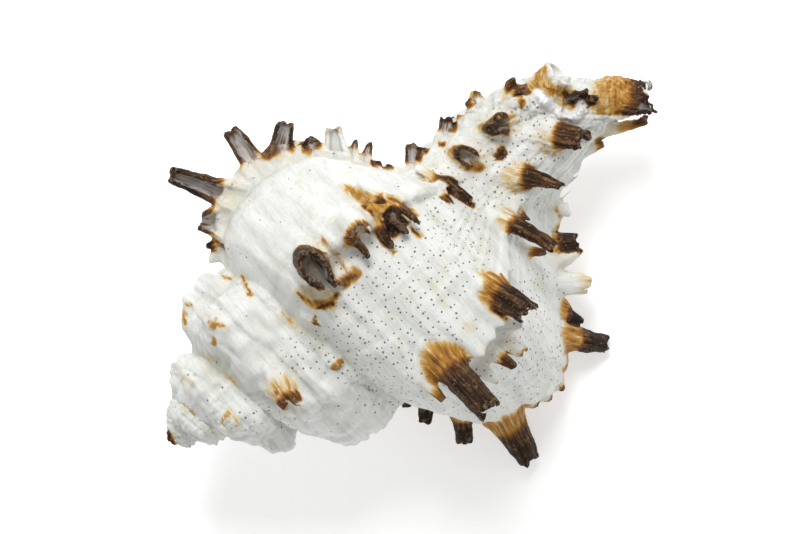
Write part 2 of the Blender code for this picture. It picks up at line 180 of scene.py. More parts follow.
# Fronds. A seen frond is given by the pixel of its base, the pixel of its tip, how far the tip rises
# towards the viewer in mm, the growth angle of its varix or TOP where it is read from the top surface,
# its width at base and tip in mm, how dark it gets from 0 to 1, and the shares of its length where the
# colour starts and is full. A few also have the thickness of the wall in mm and half of the angle left
# open in the channel, in degrees.
TOP = None
SEEN = (
    # Lip, from the shoulder to the canal
    (403, 396, 407, 408, -0.6, 15, 2.4, 1.6, 0.85, -0.3, 0.3),
    (424, 409, 425, 423, -1.0, 15, 2.6, 2.4, 1.0, -0.1, 0.3),
    (464, 425, 465, 443, -1.6, 15, 3.4, 2.8, 1.0, -0.25, 0.3),
    (504, 416, 532, 464, -4.0, 15, 6.2, 3.7, 0.95, -0.2, 0.5),
    (529, 397, 539, 408, -0.6, 15, 2.2, 1.2, 0.8, 0.5, 1.0),
    (544, 391, 553, 401, -0.6, 15, 2.2, 1.2, 0.7, 0.45, 1.0),
    (555, 379, 566, 391, -0.5, 15, 2.2, 1.1, 0.95, 0.5, 0.9),
    (551, 356, 566, 364, -0.6, 15, 2.6, 1.2, 1.0, -0.1, 0.35),
    (543, 340, 608, 345, -4.8, 15, 4.4, 3.1, 1.0, 0.0, 0.32),
    (553, 314, 586, 322, -1.6, 15, 3.4, 0.9, 1.0, -0.05, 0.25),
    (552, 284, 588, 284, -1.2, 15, 3.9, 3.5, 0.13, -0.1, 0.9),
    (552, 262, 585, 250, -1.0, 15, 4.4, 0.9, 0.8, 0.6, 1.0),
    (548, 240, 577, 241, -1.4, 15, 3.4, 2.9, 0.95, -0.2, 0.25),
    (549, 226, 557, 227, -0.4, 15, 1.8, 0.7, 0.85, -0.2, 0.5),
    (548, 210, 557, 210, -0.4, 15, 1.8, 0.7, 0.85, -0.2, 0.5),
    (592, 146, 606, 143, -0.4, TOP, 1.8, 1.1, 0.5, 0.0, 0.7),
    (611, 130, 649, 119, -0.4, TOP, 2.6, 1.4, 0.5, 0.0, 0.9),
    (638, 106, 660, 112, -0.6, TOP, 2.2, 0.7, 1.0, -0.3, 0.1),
    # The varix before it
    (425, 386, 444, 399, 0.2, -50, 2.6, 1.4, 0.55, 0.1, 0.9),
    (450, 367, 489, 409, 5.0, -50, 5.4, 4.2, 0.92, -0.22, 0.3),
    (480, 368, 497, 381, 1.0, TOP, 2.8, 1.0, 0.3, 0.7, 1.2),
    (492, 353, 514, 367, 1.0, TOP, 2.6, 1.5, 0.7, 0.15, 0.6),
    (506, 342, 524, 353, 1.6, TOP, 3.4, 2.0, 0.8, 0.8, 1.02),
    (504, 329, 521, 324, 1.4, TOP, 3.2, 1.4, 0.0, 0.5, 1.0),
    (494, 293, 528, 314, 3.4, TOP, 4.5, 4.2, 0.92, -0.2, 0.36),
    (526, 252, 548, 252, 0.8, TOP, 2.0, 0.8, 0.6, -0.1, 0.6),
    (507, 221, 554, 248, 2.6, TOP, 2.9, 2.2, 0.85, -0.12, 0.2),
    (518, 213, 530, 220, 0.9, TOP, 2.0, 0.6, 0.8, 0.0, 0.6),
    (518, 177, 562, 187, 2.6, TOP, 3.7, 1.7, 0.82, -0.1, 0.25),
    (554, 138, 583, 140, 2.0, TOP, 4.1, 3.8, 0.72, -0.12, 0.3),
    (563, 105, 589, 92, 1.4, TOP, 2.3, 1.5, 0.85, -0.05, 0.3),
    (578, 103, 598, 98, 1.2, TOP, 1.8, 0.9, 0.85, 0.0, 0.4),
    # The varix on the back: broken rings and stubs
    (316, 320, 319, 322, 0.4, TOP, 1.6, 1.2, 0.4, -0.2, 0.4),
    (328, 252, 346, 276, 1.0, TOP, 5.0, 5.4, 0.46, 0.55, 1.0, 0.8, 95),
    (352, 242, 369, 258, 0.9, TOP, 2.2, 1.0, 0.85, -0.1, 0.3),
    (356, 229, 361, 235, 1.0, TOP, 4.0, 4.2, 0.5, 0.0, 0.9, 0.8, 35),
    (380, 222, 394, 247, 1.4, TOP, 2.3, 1.2, 0.8, -0.1, 0.4),
    (366, 196, 396, 222, 0.9, TOP, 2.0, 3.8, 0.85, 0.06, 0.34, 0.9, 66),
    (386, 219, 407, 235, 1.3, TOP, 2.2, 1.1, 0.85, -0.1, 0.4),
    (394, 208, 418, 224, 1.3, TOP, 2.4, 1.2, 0.85, -0.1, 0.4),
    (428, 178, 471, 200, 1.7, TOP, 2.2, 1.0, 0.85, -0.12, 0.25),
    (443, 196, 448, 203, 0.7, TOP, 1.8, 0.9, 0.6, -0.1, 0.4),
    (497, 150, 503, 155, 0.5, TOP, 1.5, 0.6, 0.7, -0.1, 0.5),
    (506, 95, 515, 79, 1.2, TOP, 1.6, 1.0, 0.64, -0.1, 0.6),
    (510, 97, 525, 89, 0.9, TOP, 1.6, 0.9, 0.6, -0.1, 0.6),
    (519, 103, 525, 101, 0.5, TOP, 1.3, 0.7, 0.6, -0.1, 0.5),
    # The varix on the far side, whose channels face the viewer
    (234, 246, 222, 243, 0.6, -175, 2.8, 2.2, 0.5, 0.0, 0.9),
    (212, 244, 205, 246, 0.3, -175, 1.6, 1.0, 0.9, 0.0, 0.7),
    (233, 222, 200, 222, 1.8, -175, 5.4, 3.0, 0.75, 0.0, 0.8),
    (233, 204, 171, 175, 1.2, -175, 4.8, 2.9, 0.95, -0.05, 0.25, 0.9, 40),
    (257, 178, 231, 131, 0.8, -175, 3.9, 2.9, 0.85, -0.1, 0.4, 0.8, 62),
    (272, 162, 269, 149, 1.2, -175, 2.4, 1.8, 0.5, 0.0, 0.7),
    (286, 162, 285, 122, 0.6, -175, 3.6, 3.0, 0.9, -0.05, 0.3, 0.8, 50),
    (309, 158, 309, 138, 1.6, -175, 3.2, 1.4, 0.8, -0.1, 0.6),
    (332, 160, 333, 128, 0.4, -175, 4.0, 2.6, 0.12, 0.3, 1.0),
    (354, 160, 356, 139, 0.2, -175, 2.6, 0.9, 0.7, 0.3, 0.9),
    (365, 163, 369, 142, 0.2, -175, 2.4, 1.1, 0.8, 0.2, 0.8),
    (377, 171, 377, 161, 0.2, -175, 2.0, 1.0, 0.7, 0.2, 0.8),
    (389, 173, 389, 164, 0.2, -175, 2.0, 1.0, 0.6, 0.2, 0.8),
    (410, 162, 411, 144, 0.6, -160, 2.6, 2.0, 0.8, -0.1, 0.5),
    (421, 158, 423, 147, 0.3, -160, 1.6, 1.0, 0.7, 0.2, 0.8),
    (449, 137, 447, 118, 0.6, -158, 2.8, 2.2, 0.7, -0.05, 0.6),
    (459, 119, 458, 114, 0.2, -158, 1.3, 0.7, 0.4, 0.2, 0.8),
    (479, 104, 477, 92, 0.6, -155, 2.4, 2.0, 0.3, 0.1, 0.9),
    (472, 106, 468, 101, 0.3, -155, 1.3, 0.7, 0.6, 0.0, 0.8),
    # Worn stubs on the spire
    (284, 393, 291, 403, 1.0, TOP, 3.6, 3.0, 0.5, -0.1, 0.6),
    (335, 361, 339, 365, 0.4, TOP, 1.7, 1.2, 0.28, -0.1, 0.6),
    (222, 415, 226, 419, 0.4, TOP, 1.5, 1.1, 0.28, -0.2, 0.6),
    (213, 337, 218, 342, 0.6, TOP, 2.0, 1.5, 0.34, -0.1, 0.6),
    (214, 320, 219, 325, 0.5, TOP, 1.8, 1.3, 0.32, -0.1, 0.6),
)
# Spines broken off low, seen from the end as rings with a gap: the pixel of the middle, a pixel that the
# gap faces, width, length and height in mm, half of the angle of the gap in degrees, wall in mm, how dark,
# the share of the height where that is full, and how pale the channel is
BROKEN = (
    (315, 267.5, 334, 290, 4.7, 7.7, 5.0, 20, 1.15, 0.85, 0.3, 0.5),
    (467, 156, 485, 167, 3.0, 5.2, 3.2, 46, 0.8, 0.8, 1.0, 0.55),
    (499, 125, 518, 121, 3.1, 5.2, 3.9, 50, 0.8, 0.8, 1.0, 0.55),
)
BROKEN_LEAN = 0.12
# Fronds on the underside: growth angle, then (along the axis, length, width, lean towards the canal)
UNDER = (
    (-238, (
        (27.5, 3.0, 4.4, -18), (31.6, 4.2, 4.8, -4), (36.0, 3.2, 3.6, 8), (40.0, 3.6, 3.6, 15),
        (44.5, 10.0, 4.8, 22), (50.5, 4.4, 3.4, 40),
    )),
    (-300, ((22.6, 2.0, 3.8, -15), (26.4, 2.6, 4.4, 0), (31.4, 2.2, 3.6, 15), (36.4, 2.4, 3.4, 30))),
)
UNDER_LEAN = 16                # degrees towards growth
UNDER_TAPER = 0.8
UNDER_DARK = 0.75
UNDER_FULL = 0.5

# Form of a frond: its wall and the depth of its foot in mm, half of the angle left open in degrees, its bow
# as a share of its length, how much wider its base flares and within how many mm, the spacing of its ribs
# in mm and their height as a share of its half width, and how far the teeth of its torn edge reach
FROND_WALL = 0.8
FROND_SUNK = 2.6
FROND_OPENING = 58
FROND_BOW = 0.07
BASE_FLARE = 0.22
FLARE_REACH = 1.2
RIB_SPACING = 1.0
RIB_HEIGHT = 0.045
RAGGED = 0.75
TEETH = 12
FROND_SIDES = 33
FROND_STEPS = 15
# Fronds at least this wide at the base have a swelling behind them, so many widths long
FOLDED_FROM = 3.5
FOLD_REACH = 1.7
# The coloured root behind a frond: how dark, and how far it reaches back and sideways in widths of the base;
# and the faint halo around it: how dark, and how far it reaches in mm
ROOT_TONE = 0.37
ROOT_REACH = 1.35
ROOT_SIDE = 0.36
HALO_TONE = 0.10
HALO_REACH = 2.2
FIELD_MARGIN = 3.5             # mm around a frond within which points are looked at
# How strong the root is on the lip, at small fronds and those on the canal, at nearly closed and broken
# ones, on the far side and underneath
LIP_ROOT = 0.8
SMALL_ROOT = 0.5
CLOSED_ROOT = 0.15
FAR_ROOT = 0.25
UNDER_ROOT = 0.45
SMALL_WIDTH = 3.4              # of the base in mm
CANAL_FROM = 515               # pixel beyond which fronds count as the canal's
CLOSED_OPENING = 50            # half of the angle left open, below which a frond is nearly closed
FAR_FROM = -155                # growth angle up to which fronds stand on the far side
STARTS_BEHIND = -0.1           # share of their length where the colour of unseen and broken ones starts
# How much of the pale lining shows in the channel of a nearly closed frond and of one on the far side
CLOSED_PALE = 0.3
FAR_PALE = 0.85

# Thin scalloped edges of the varices: growth angle, from and to along the axis, height in mm
FRILLS = (
    (15, 34, 67, 0.7), (-50, 35, 78, 1.5), (-104, 36, 66, 0.8), (-175, 29, 66, 1.5), (-238, 25, 60, 1.3),
    (-300, 22, 40, 1.0),
)
FRILL_TOOTH = 1.15
FRILL_THICKNESS = 0.7
FRILL_LEAN = 0.9               # towards growth
FRILL_STEP = 0.3
FRILL_FADE = 2.5               # mm from its ends
# Low torn walls: pixels along them, height and width in mm, and seed
WHITE_RIDGE = ((538, 93), (546, 101), (556, 109), (566, 114), (575, 115), (581, 110), (582, 104))
CUP_RIDGE = ((297, 289), (303, 297), (312, 303), (323, 307), (332, 304), (337, 298))
RIDGES = ((WHITE_RIDGE, 1.5, 1.3, 77), (CUP_RIDGE, 0.9, 1.4, 78))
RIDGE_STEPS = 40
RIDGE_FADE = 5                 # steps from its ends

# Thin brown lines and streaks on the surface: pixels of both ends, widths there in mm, and how dark
STROKES = (
    (322, 237, 356, 278, 0.35, 0.45, 0.3), (242, 277, 252, 296, 0.4, 0.5, 0.36),
    (500, 274, 515, 292, 0.35, 0.5, 0.4), (283, 313, 296, 326, 0.4, 0.5, 0.2),
    (341, 188, 374, 205, 0.4, 2.6, 0.3), (210, 322, 224, 326, 0.35, 0.5, 0.3),
    (221, 276, 230, 279, 0.3, 0.4, 0.3), (182, 312, 183, 323, 0.8, 0.9, 0.3),
    (183, 306, 190, 305, 0.5, 0.5, 0.3), (436, 345, 452, 352, 1.2, 1.6, 0.25),
    (276, 389, 286, 410, 0.5, 0.6, 0.45), (388, 214, 420, 236, 0.5, 0.6, 0.5),
    (440, 142, 444, 144, 0.5, 0.6, 0.55), (496, 287, 505, 318, 0.5, 0.8, 0.4),
    (453, 152, 461, 160, 2.2, 1.6, 0.24), (482, 127, 492, 130, 2.2, 1.8, 0.24),
    (165, 434, 170, 446, 1.0, 1.2, 0.72), (536, 86, 573, 93, 3.0, 1.6, 0.30),
    (540, 66, 545, 84, 2.2, 3.0, 0.32), (296, 289, 304, 298, 0.4, 0.7, 0.32),
    (304, 299, 316, 305, 0.7, 1.6, 0.32), (316, 304, 332, 304, 1.8, 1.6, 0.34),
    (332, 303, 337, 294, 1.2, 0.5, 0.4), (318, 308, 334, 303, 0.6, 0.6, 0.62),
    (306, 293, 330, 297, 2.2, 2.4, 0.13), (346, 186, 390, 216, 0.4, 4.4, 0.30),
    (569, 252, 584, 249, 0.5, 0.4, 0.7), (362, 206, 384, 224, 0.4, 0.5, 0.5),
    (388, 196, 414, 214, 0.4, 0.8, 0.45), (467, 324, 470, 327, 1.4, 1.4, 0.09),
    (484, 344, 487, 347, 1.4, 1.4, 0.09), (511, 348, 514, 350, 1.5, 1.5, 0.1),
    (441, 265, 444, 267, 1.4, 1.4, 0.08), (228, 410, 240, 424, 0.3, 0.4, 0.16),
    (182, 408, 192, 416, 0.4, 0.4, 0.16), (226, 376, 238, 384, 0.3, 0.5, 0.18),
    (205, 356, 209, 361, 0.8, 0.8, 0.12), (184, 380, 190, 384, 0.8, 0.8, 0.12),
)
STROKE_HALO = 0.11
# Where pores are dense on the back: middle and half axes of ellipses in pixels, and how dense
PORE_SPOTS = (
    (400, 330, 80, 90, 1.0), (440, 250, 60, 60, 1.0), (370, 260, 40, 40, 0.6), (525, 150, 45, 60, 1.0),
    (470, 190, 40, 40, 0.9), (312, 354, 34, 26, 1.1), (540, 330, 40, 80, 0.8), (470, 390, 70, 40, 0.6),
    (345, 345, 30, 30, 0.8), (264, 420, 38, 24, 0.5),
)
PORES_ELSEWHERE = 0.06
# Freshly broken white places: middle and half axes in pixels, and how white
BARE_SPOTS = ((649, 85, 4, 8, 0.85), (561, 71, 13, 10, 1.0))
# The canal's end: where it starts along the axis, the pixels across which it turns golden and dark, the
# pixels down which it ends, the pixel below which it is dark sooner and by how much, and the two tones
SPOUT_FROM = 85.0
SPOUT_GOLD = (578, 606)
SPOUT_DARK = (624, 650)
SPOUT_ENDS = (112, 117)
SPOUT_EDGE = 103
SPOUT_SLANT = 1.6
SPOUT_TONES = (0.26, 0.78)
SPOUT_BANDS = 0.7              # how fine its streaks are across the photograph
FROND_APART = 3.7              # from frond to frond in the streaks, so that no two are alike
SPIRAL_LENGTH = 337.0          # of a line round the coil that ends 30 mm from the axis at growth angle 0
# How far around a point, in mm, the shell's own material counts for the painted shade of a crevice or of a
# hollow
CREVICE_REACH = 1.2
HOLLOW_REACH = 3.2


def smooth_step(x, start, end):
    share = np.clip((x - start) / (end - start), 0, 1)
    return share * share * (3 - 2 * share)


def spline(points, count):
    """Points along a Catmull-Rom curve through the given ones, spaced by the square root of distance."""
    points = np.asarray(points, float)
    steps = np.linalg.norm(np.diff(points, axis=0), axis=1) ** 0.5
    knots = np.r_[0, np.cumsum(steps)]
    slopes = np.gradient(points, knots, axis=0)
    places = np.linspace(0, knots[-1], count)
    cell = np.clip(np.searchsorted(knots, places, side="right") - 1, 0, len(points) - 2)
    width = (knots[cell + 1] - knots[cell])[:, None]
    x = (places - knots[cell])[:, None] / width
    start = (1 + 2 * x) * (1 - x) ** 2 * points[cell] + x * (1 - x) ** 2 * width * slopes[cell]
    end = x * x * (3 - 2 * x) * points[cell + 1] + x * x * (x - 1) * width * slopes[cell + 1]
    return start + end


def unit(vector):
    return vector / np.linalg.norm(vector)


def in_cells(values, corner, part):
    """Values of a repeating grid, mixed from the eight corners of the cell that each point lies in."""
    total = np.zeros(part.shape[:-1])
    for i, j, k in np.ndindex(2, 2, 2):
        weight = np.abs(1 - i - part[..., 0]) * np.abs(1 - j - part[..., 1])
        weight *= np.abs(1 - k - part[..., 2])
        place = (corner + (i, j, k)) % values.shape
        total += weight * values[place[..., 0], place[..., 1], place[..., 2]]
    return total


def noise(points, cell, seed):
    """Smooth noise between 0 and 1, from random numbers on a grid of cells of this size."""
    values = np.random.default_rng(seed).random((NOISE_CELLS,) * 3)
    scaled = np.asarray(points, float) / cell
    corner = np.floor(scaled).astype(int)
    return in_cells(values, corner, smooth_step(scaled - corner, 0, 1))


def sample(volume, points):
    """The volume's value at points, between its voxels."""
    scaled = np.asarray(points) / VOXEL - GRID_LOW
    corner = np.clip(np.floor(scaled).astype(int), 0, np.array(GRID_SHAPE) - 2)
    return in_cells(volume, corner, np.clip(scaled - corner, 0, 1))


def rest_turn():
    """The turn from the shell's own frame to how it lies."""
    lie = Matrix.Rotation(math.radians(REST_PITCH), 4, "Y") @ Matrix.Rotation(math.radians(REST_ROLL), 4, "X")
    return np.array(lie.to_3x3())


def from_photo(x, y):
    """(X, Y) of the shell's frame under a pixel of the photograph."""
    climb = math.radians(PHOTO_CLIMB)
    right = (np.asarray(x, float) - PHOTO_APEX[0]) / PHOTO_SCALE
    up = (PHOTO_APEX[1] - np.asarray(y, float)) / PHOTO_SCALE
    return right * math.cos(climb) + up * math.sin(climb), up * math.cos(climb) - right * math.sin(climb)


def photo_way(x, y, next_x, next_y):
    """The level way in the shell's frame from one pixel of the photograph to another."""
    return np.array([*np.subtract(from_photo(next_x, next_y), from_photo(x, y)), 0.0])


def photo_pixels(points):
    """Where points of the shell's frame lie in the photograph."""
    climb = math.radians(PHOTO_CLIMB)
    x = PHOTO_APEX[0] + PHOTO_SCALE * (points[:, 0] * math.cos(climb) - points[:, 1] * math.sin(climb))
    y = PHOTO_APEX[1] - PHOTO_SCALE * (points[:, 0] * math.sin(climb) + points[:, 1] * math.cos(climb))
    return x, y


def growth_scale(t):
    return GROWTH_PER_TURN ** (np.asarray(t, float) / 360)


def outward(t):
    """The direction away from the axis."""
    angle = math.radians(-t)
    return np.array([0, -math.cos(angle), math.sin(angle)])


def onward(t):
    """The direction of growth."""
    angle = math.radians(-t)
    return np.array([0, -math.sin(angle), -math.cos(angle)])


def on_section(radius, along, t):
    """Points of the shell's frame at growth angle t."""
    angle = np.radians(-np.asarray(t, float))
    along = along + 0 * radius
    return np.stack([along, -radius * np.cos(angle), radius * np.sin(angle)], axis=-1)


def crest(t):
    """How near growth angle t is to a varix: 0 between two of them, 1 on a crest."""
    angles = list(LAST_VARICES)
    while angles[-1] > FIRST_ANGLE:
        angles.append(angles[-1] - VARIX_SPACING)
    height = np.zeros_like(t)
    for angle in angles:
        away = t - angle
        rise = smooth_step(away, -VARIX_RISE, 0) ** VARIX_CURVE
        worn = float(smooth_step(-angle, *WORN_VARICES))
        fall = 1 - smooth_step(away, VARIX_TOP, VARIX_FALL + WORN_FALL * worn)
        height = np.maximum(height, np.where(away <= 0, rise, fall))
    return height


def sections(t):
    """(radius, along) of the whorl's outside for an array of growth angles, one row for each."""
    radius, along = spline(PROFILE, SECTION_POINTS).T
    t = np.asarray(t, float)[:, None]
    height = crest(t)
    on_whorl = smooth_step(along, *SHOULDER_SLOPE)
    wide = radius * (1 - (1 - BETWEEN_VARICES) * (1 - height) * on_whorl)
    share = np.linspace(0, 1, SECTION_POINTS)
    waves = np.sin(np.pi * (share * CORDS % 1))
    threads = np.abs(np.sin(np.pi * share * THREADS)) ** 1.5
    on_cords = on_whorl * (1 - smooth_step(along, *CORDS_FADE))
    old = smooth_step(-t, *WORN_WHORLS)
    cord = CORD_HEIGHT * (CORD_BETWEEN + (1 - CORD_BETWEEN) * height + OLD_CORDS * old)
    wide = wide + cord * waves * on_cords
    wide = wide + THREAD_HEIGHT * threads * (THREAD_BETWEEN + height) * on_cords
    older = smooth_step(-t, 0, OLDER_WITHIN)
    along = along + OLDER_STRETCH * older * smooth_step(along, *STRETCHED)
    angles, factors = zip(*SWELL)
    swell = np.interp(t, angles, factors)
    scale = growth_scale(t)
    return wide * scale * swell, along * scale - LOST_TIP


class Swept:
    """Closed tubes gathered to make one level set of them."""

    def __init__(self, *tubes):
        self.points, self.quads, self.triangles = [], [], []
        self.count = 0
        for rings in tubes:
            self.add(rings)

    def add(self, rings, folded=False):
        """Adds a tube. The outline of a folded one runs along a wall and comes back on its other side."""
        rings = np.asarray(rings, float)
        rows, sides = rings.shape[:2]
        index = np.arange(rows * sides).reshape(rows, sides) + self.count
        after = np.roll(index, -1, axis=1)
        self.quads.append(np.stack([index[:-1], index[1:], after[1:], after[:-1]], -1).reshape(-1, 4))
        self.points.append(rings.reshape(-1, 3))
        self.count += rows * sides
        for ring, turn in ((0, 1), (rows - 1, -1)):
            if folded:
                out, back = index[ring, :sides // 2], index[ring, :sides // 2 - 1:-1]
                self.quads.append(np.stack([out[:-1], out[1:], back[1:], back[:-1]][::turn], -1))
                continue
            self.points.append(rings[ring].mean(axis=0)[None])
            middle = np.full(sides, self.count)
            self.triangles.append(np.stack([middle, index[ring], after[ring]][::turn], -1))
            self.count += 1

    def level_set(self):
        grid = openvdb.FloatGrid.createLevelSetFromPolygons(
            np.concatenate(self.points).astype(np.float32),
            triangles=np.concatenate(self.triangles).astype(np.uint32),
            quads=np.concatenate(self.quads).astype(np.uint32),
            transform=openvdb.createLinearTransform(voxelSize=VOXEL),
            halfWidth=BAND,
        )
        volume = np.zeros(GRID_SHAPE, np.float32)
        grid.copyToArray(volume, ijk=GRID_LOW)
        return volume


def joined(a, b, soft):
    """Union of two level sets, with a fillet about as wide as soft."""
    near = np.maximum(soft - np.abs(a - b), 0)
    return np.minimum(a, b) - near * near / (4 * soft)


def carved(a, cutter, soft):
    """What is left of a level set when the cutter is taken out, with an edge rounded by soft."""
    return -joined(-a, cutter, soft)


def pipe(stations, sides=40, count=60):
    """Rings around a bent pipe, from (along the axis, towards the lip, up, radius) stations."""
    path = spline([(x, -lip, up, radius) for x, lip, up, radius in stations], count)
    centres, radii = path[:, :3], path[:, 3]
    ahead = np.gradient(centres, axis=0)
    angles = np.linspace(0, 2 * np.pi, sides, endpoint=False)
    rings = []
    for centre, direction, radius in zip(centres, ahead, radii):
        direction = unit(direction)
        side = unit(np.cross(UP, direction))
        up = np.cross(direction, side)
        rings.append(centre + radius * (np.outer(np.cos(angles), side) + np.outer(np.sin(angles), up)))
    return np.array(rings)


def bore(stations):
    """The hollow in the end of a pipe."""
    return pipe([(x, lip, up, radius * BORE_SHARE) for x, lip, up, radius in stations], 28, 30)


def whorls(last=LIP_ANGLE):
    """The coiled body as closed rings, up to a growth angle; past the lip it goes on as the lip is."""
    t = np.arange(FIRST_ANGLE, last + GROWTH_STEP / 2, GROWTH_STEP)
    radius, along = sections(np.minimum(t, LIP_ANGLE))
    over = -PAST_AXIS * growth_scale(t)[:, None]
    radius = np.concatenate([over, radius, over], axis=1)
    along = np.concatenate([along[:, :1], along, along[:, -1:]], axis=1)
    return on_section(radius, along, t[:, None])


def chamber():
    rings = []
    angles = np.linspace(0, 2 * np.pi, MOUTH_SIDES, endpoint=False)
    for t in np.arange(LIP_ANGLE + CHAMBER_START, CHAMBER_END, -CHAMBER_STEP):
        scale = float(growth_scale(min(t, LIP_ANGLE)))
        flare = 1 + MOUTH_FLARE * float(smooth_step(t, LIP_ANGLE - 12, LIP_ANGLE + 3))
        fade = 1 - CHAMBER_NARROWS * float(smooth_step(-t, 0, NARROWS_WITHIN))
        radius = MOUTH_RADIUS + MOUTH_HALF_WIDTH * fade * flare * np.cos(angles)
        along = MOUTH_ALONG + MOUTH_HALF_LENGTH * fade * flare * np.sin(angles)
        rings.append(on_section(radius * scale, along * scale - LOST_TIP, t))
    return np.array(rings)


def groove():
    """The slit as rings: a round arch on two straight sides."""
    arch = GROOVE_HALF_WIDTH * np.exp(1j * np.linspace(0, np.pi, 15))
    across = np.r_[GROOVE_HALF_WIDTH, arch.real, -GROOVE_HALF_WIDTH]
    rings = []
    for x, lip, up in spline(GROOVE, 50):
        height = np.r_[GROOVE_BOTTOM, up + arch.imag, GROOVE_BOTTOM]
        rings.append(np.stack([np.full_like(across, x), across - lip, height], -1))
    return np.array(rings)


class Frond:
    """One open half tube on the shell, and the place of every point relative to it.

    pale says how much of its pale lining shows, root how strong its coloured root is, and deep how much
    deeper than wide it is. fold is the swelling behind it.
    """

    pale, root, deep, fold = 0.35, 1.0, 1.0, None

    def __init__(self, base, tip, ahead, base_width, tip_width, dark, starts, full,
                 wall=FROND_WALL, opening=FROND_OPENING, seed=0):
        self.base, self.tip = base, tip
        self.base_width, self.tip_width = base_width, tip_width
        self.dark, self.starts, self.full = dark, starts, full
        self.wall, self.opening, self.seed = wall, opening, seed
        self.length = float(np.linalg.norm(tip - base))
        self.way = unit(tip - base)
        self.hollow = unit(ahead - self.way * ahead.dot(self.way))
        self.side = np.cross(self.way, self.hollow)

    def half_width(self, share):
        flare = BASE_FLARE * np.exp(-np.maximum(share, 0) * self.length / FLARE_REACH)
        share = np.clip(share, 0, 1)
        return (self.base_width + (self.tip_width - self.base_width) * share) / 2 * (1 + flare)

    def middle(self, share):
        bow = FROND_BOW * self.length * 4 * np.clip(share, 0, 1) * (1 - np.clip(share, 0, 1))
        ahead = np.multiply.outer(share * self.length, self.way)
        return self.base + ahead - np.multiply.outer(bow, self.hollow)

    def rings(self):
        """The tube, solid at its foot, with ribs outside and a wall that thins towards a torn edge."""
        opened = math.radians(180 - self.opening)
        angles = np.linspace(-opened, opened, FROND_SIDES)
        teeth = np.clip(np.random.default_rng(self.seed).normal(0, 1, TEETH), -1.6, 1.0)
        torn = np.interp(np.linspace(0, TEETH - 1, FROND_SIDES), range(TEETH), teeth)
        first = -FROND_SUNK / self.length
        ribs = max(3, round(opened * self.base_width / RIB_SPACING))
        rings = []
        for share in (first, *np.linspace(first / 3, 1, FROND_STEPS)):
            half = float(self.half_width(share))
            wall = min(self.wall, half * 0.75) * (1 - 0.35 * max(share, 0))
            shown = float(smooth_step(share, 0.1, 0.5))
            outer = half * (1 + shown * RIB_HEIGHT * np.cos(ribs * angles))
            foot = half * (1 - 0.9 * (1 - float(smooth_step(share, -0.5, 0.25))))
            inner = max(min(half - wall, foot), 0.12)
            stretch = share + RAGGED * min(self.tip_width, 3) / 3 / self.length * torn * max(share, 0) ** 2
            back = [self.spot(s, a, r) for s, a, r in zip(stretch, angles, outer)]
            front = [self.spot(s, a, inner) for s, a in zip(stretch[::-1], angles[::-1])]
            rings.append(back + front)
        return np.array(rings)

    def spot(self, share, angle, radius):
        return (
            self.middle(share)
            - self.hollow * math.cos(angle) * radius * self.deep
            + self.side * math.sin(angle) * radius
        )


def top_point(volume, x, y):
    """The point of the upper surface under a pixel of the photograph, or None beside the shell."""
    along, across = from_photo(x, y)
    heights = np.arange(ROOM[2][1] - 2, ROOM[2][0] + 2, -VOXEL / 2)
    column = np.stack([np.full_like(heights, along), np.full_like(heights, across), heights], -1)
    inside = sample(volume, column) < 0
    return column[np.argmax(inside)] if inside.any() else None


def row_point(volume, along, t):
    """The outermost point of the surface at growth angle t, this far along the axis."""
    reach = np.arange(48.0, 0.0, -VOXEL / 2)
    ray = np.array([along, 0, 0]) + np.multiply.outer(reach, outward(t))
    low, high = np.array(ROOM).T
    ray = ray[((ray > low + 1) & (ray < high - 1)).all(axis=1)]
    return ray[np.argmax(sample(volume, ray) < 0)]


def nearest_row_point(volume, x, y, t):
    """The point of a varix that lies nearest to a pixel of the photograph."""
    along, across = from_photo(x, y)
    points = [row_point(volume, along + step, t) for step in np.arange(-7.0, 7.1, 0.5)]
    return min(points, key=lambda point: math.hypot(point[0] - along, point[1] - across))


def seen_fronds(volume):
    fronds = []
    for number, (x, y, tip_x, tip_y, rise, row, *shape) in enumerate(SEEN):
        on_top = row is TOP
        base = top_point(volume, x, y) if on_top else nearest_row_point(volume, x, y, row)
        if base is None:
            base = nearest_row_point(volume, x, y, LIP_ANGLE if from_photo(x, y)[1] < 0 else FAR_VARIX)
        t = -math.degrees(math.atan2(base[2], -base[1])) if on_top else row
        tip = np.array([*from_photo(tip_x, tip_y), base[2] + rise])
        frond = Frond(base, tip, onward(t), *shape, seed=100 + number)
        if on_top and frond.opening < CLOSED_OPENING:
            frond.pale, frond.root = CLOSED_PALE, CLOSED_ROOT
        elif on_top and (frond.base_width < SMALL_WIDTH or x > CANAL_FROM):
            frond.root = SMALL_ROOT
        elif row == LIP_ANGLE:
            frond.root = LIP_ROOT
        elif not on_top and row <= FAR_FROM:
            frond.pale, frond.root = FAR_PALE, FAR_ROOT
        if on_top and frond.base_width >= FOLDED_FROM and frond.opening == FROND_OPENING:
            frond.fold = fold(volume, frond, (x, y), (tip_x, tip_y))
        fronds.append(frond)
    return fronds


def fold(volume, frond, foot, tip):
    """A swelling of the surface that leads up to a frond from behind, between two pixels."""
    back = np.subtract(foot, tip) / np.hypot(*np.subtract(foot, tip))
    half = frond.base_width / 2
    stations = []
    # From its far end to the frond's foot
    for share, radius in ((1.0, 0.3), (0.66, 0.5 * half), (0.33, 0.85 * half), (0.0, 1.15 * half)):
        reach = share * FOLD_REACH * frond.base_width * PHOTO_SCALE
        x, y, z = top_point(volume, *(np.array(foot) + back * reach))
        stations.append((x, -y, z - (0.05 + 0.6 * share) * radius, radius))
    return pipe(stations, 24, 20)


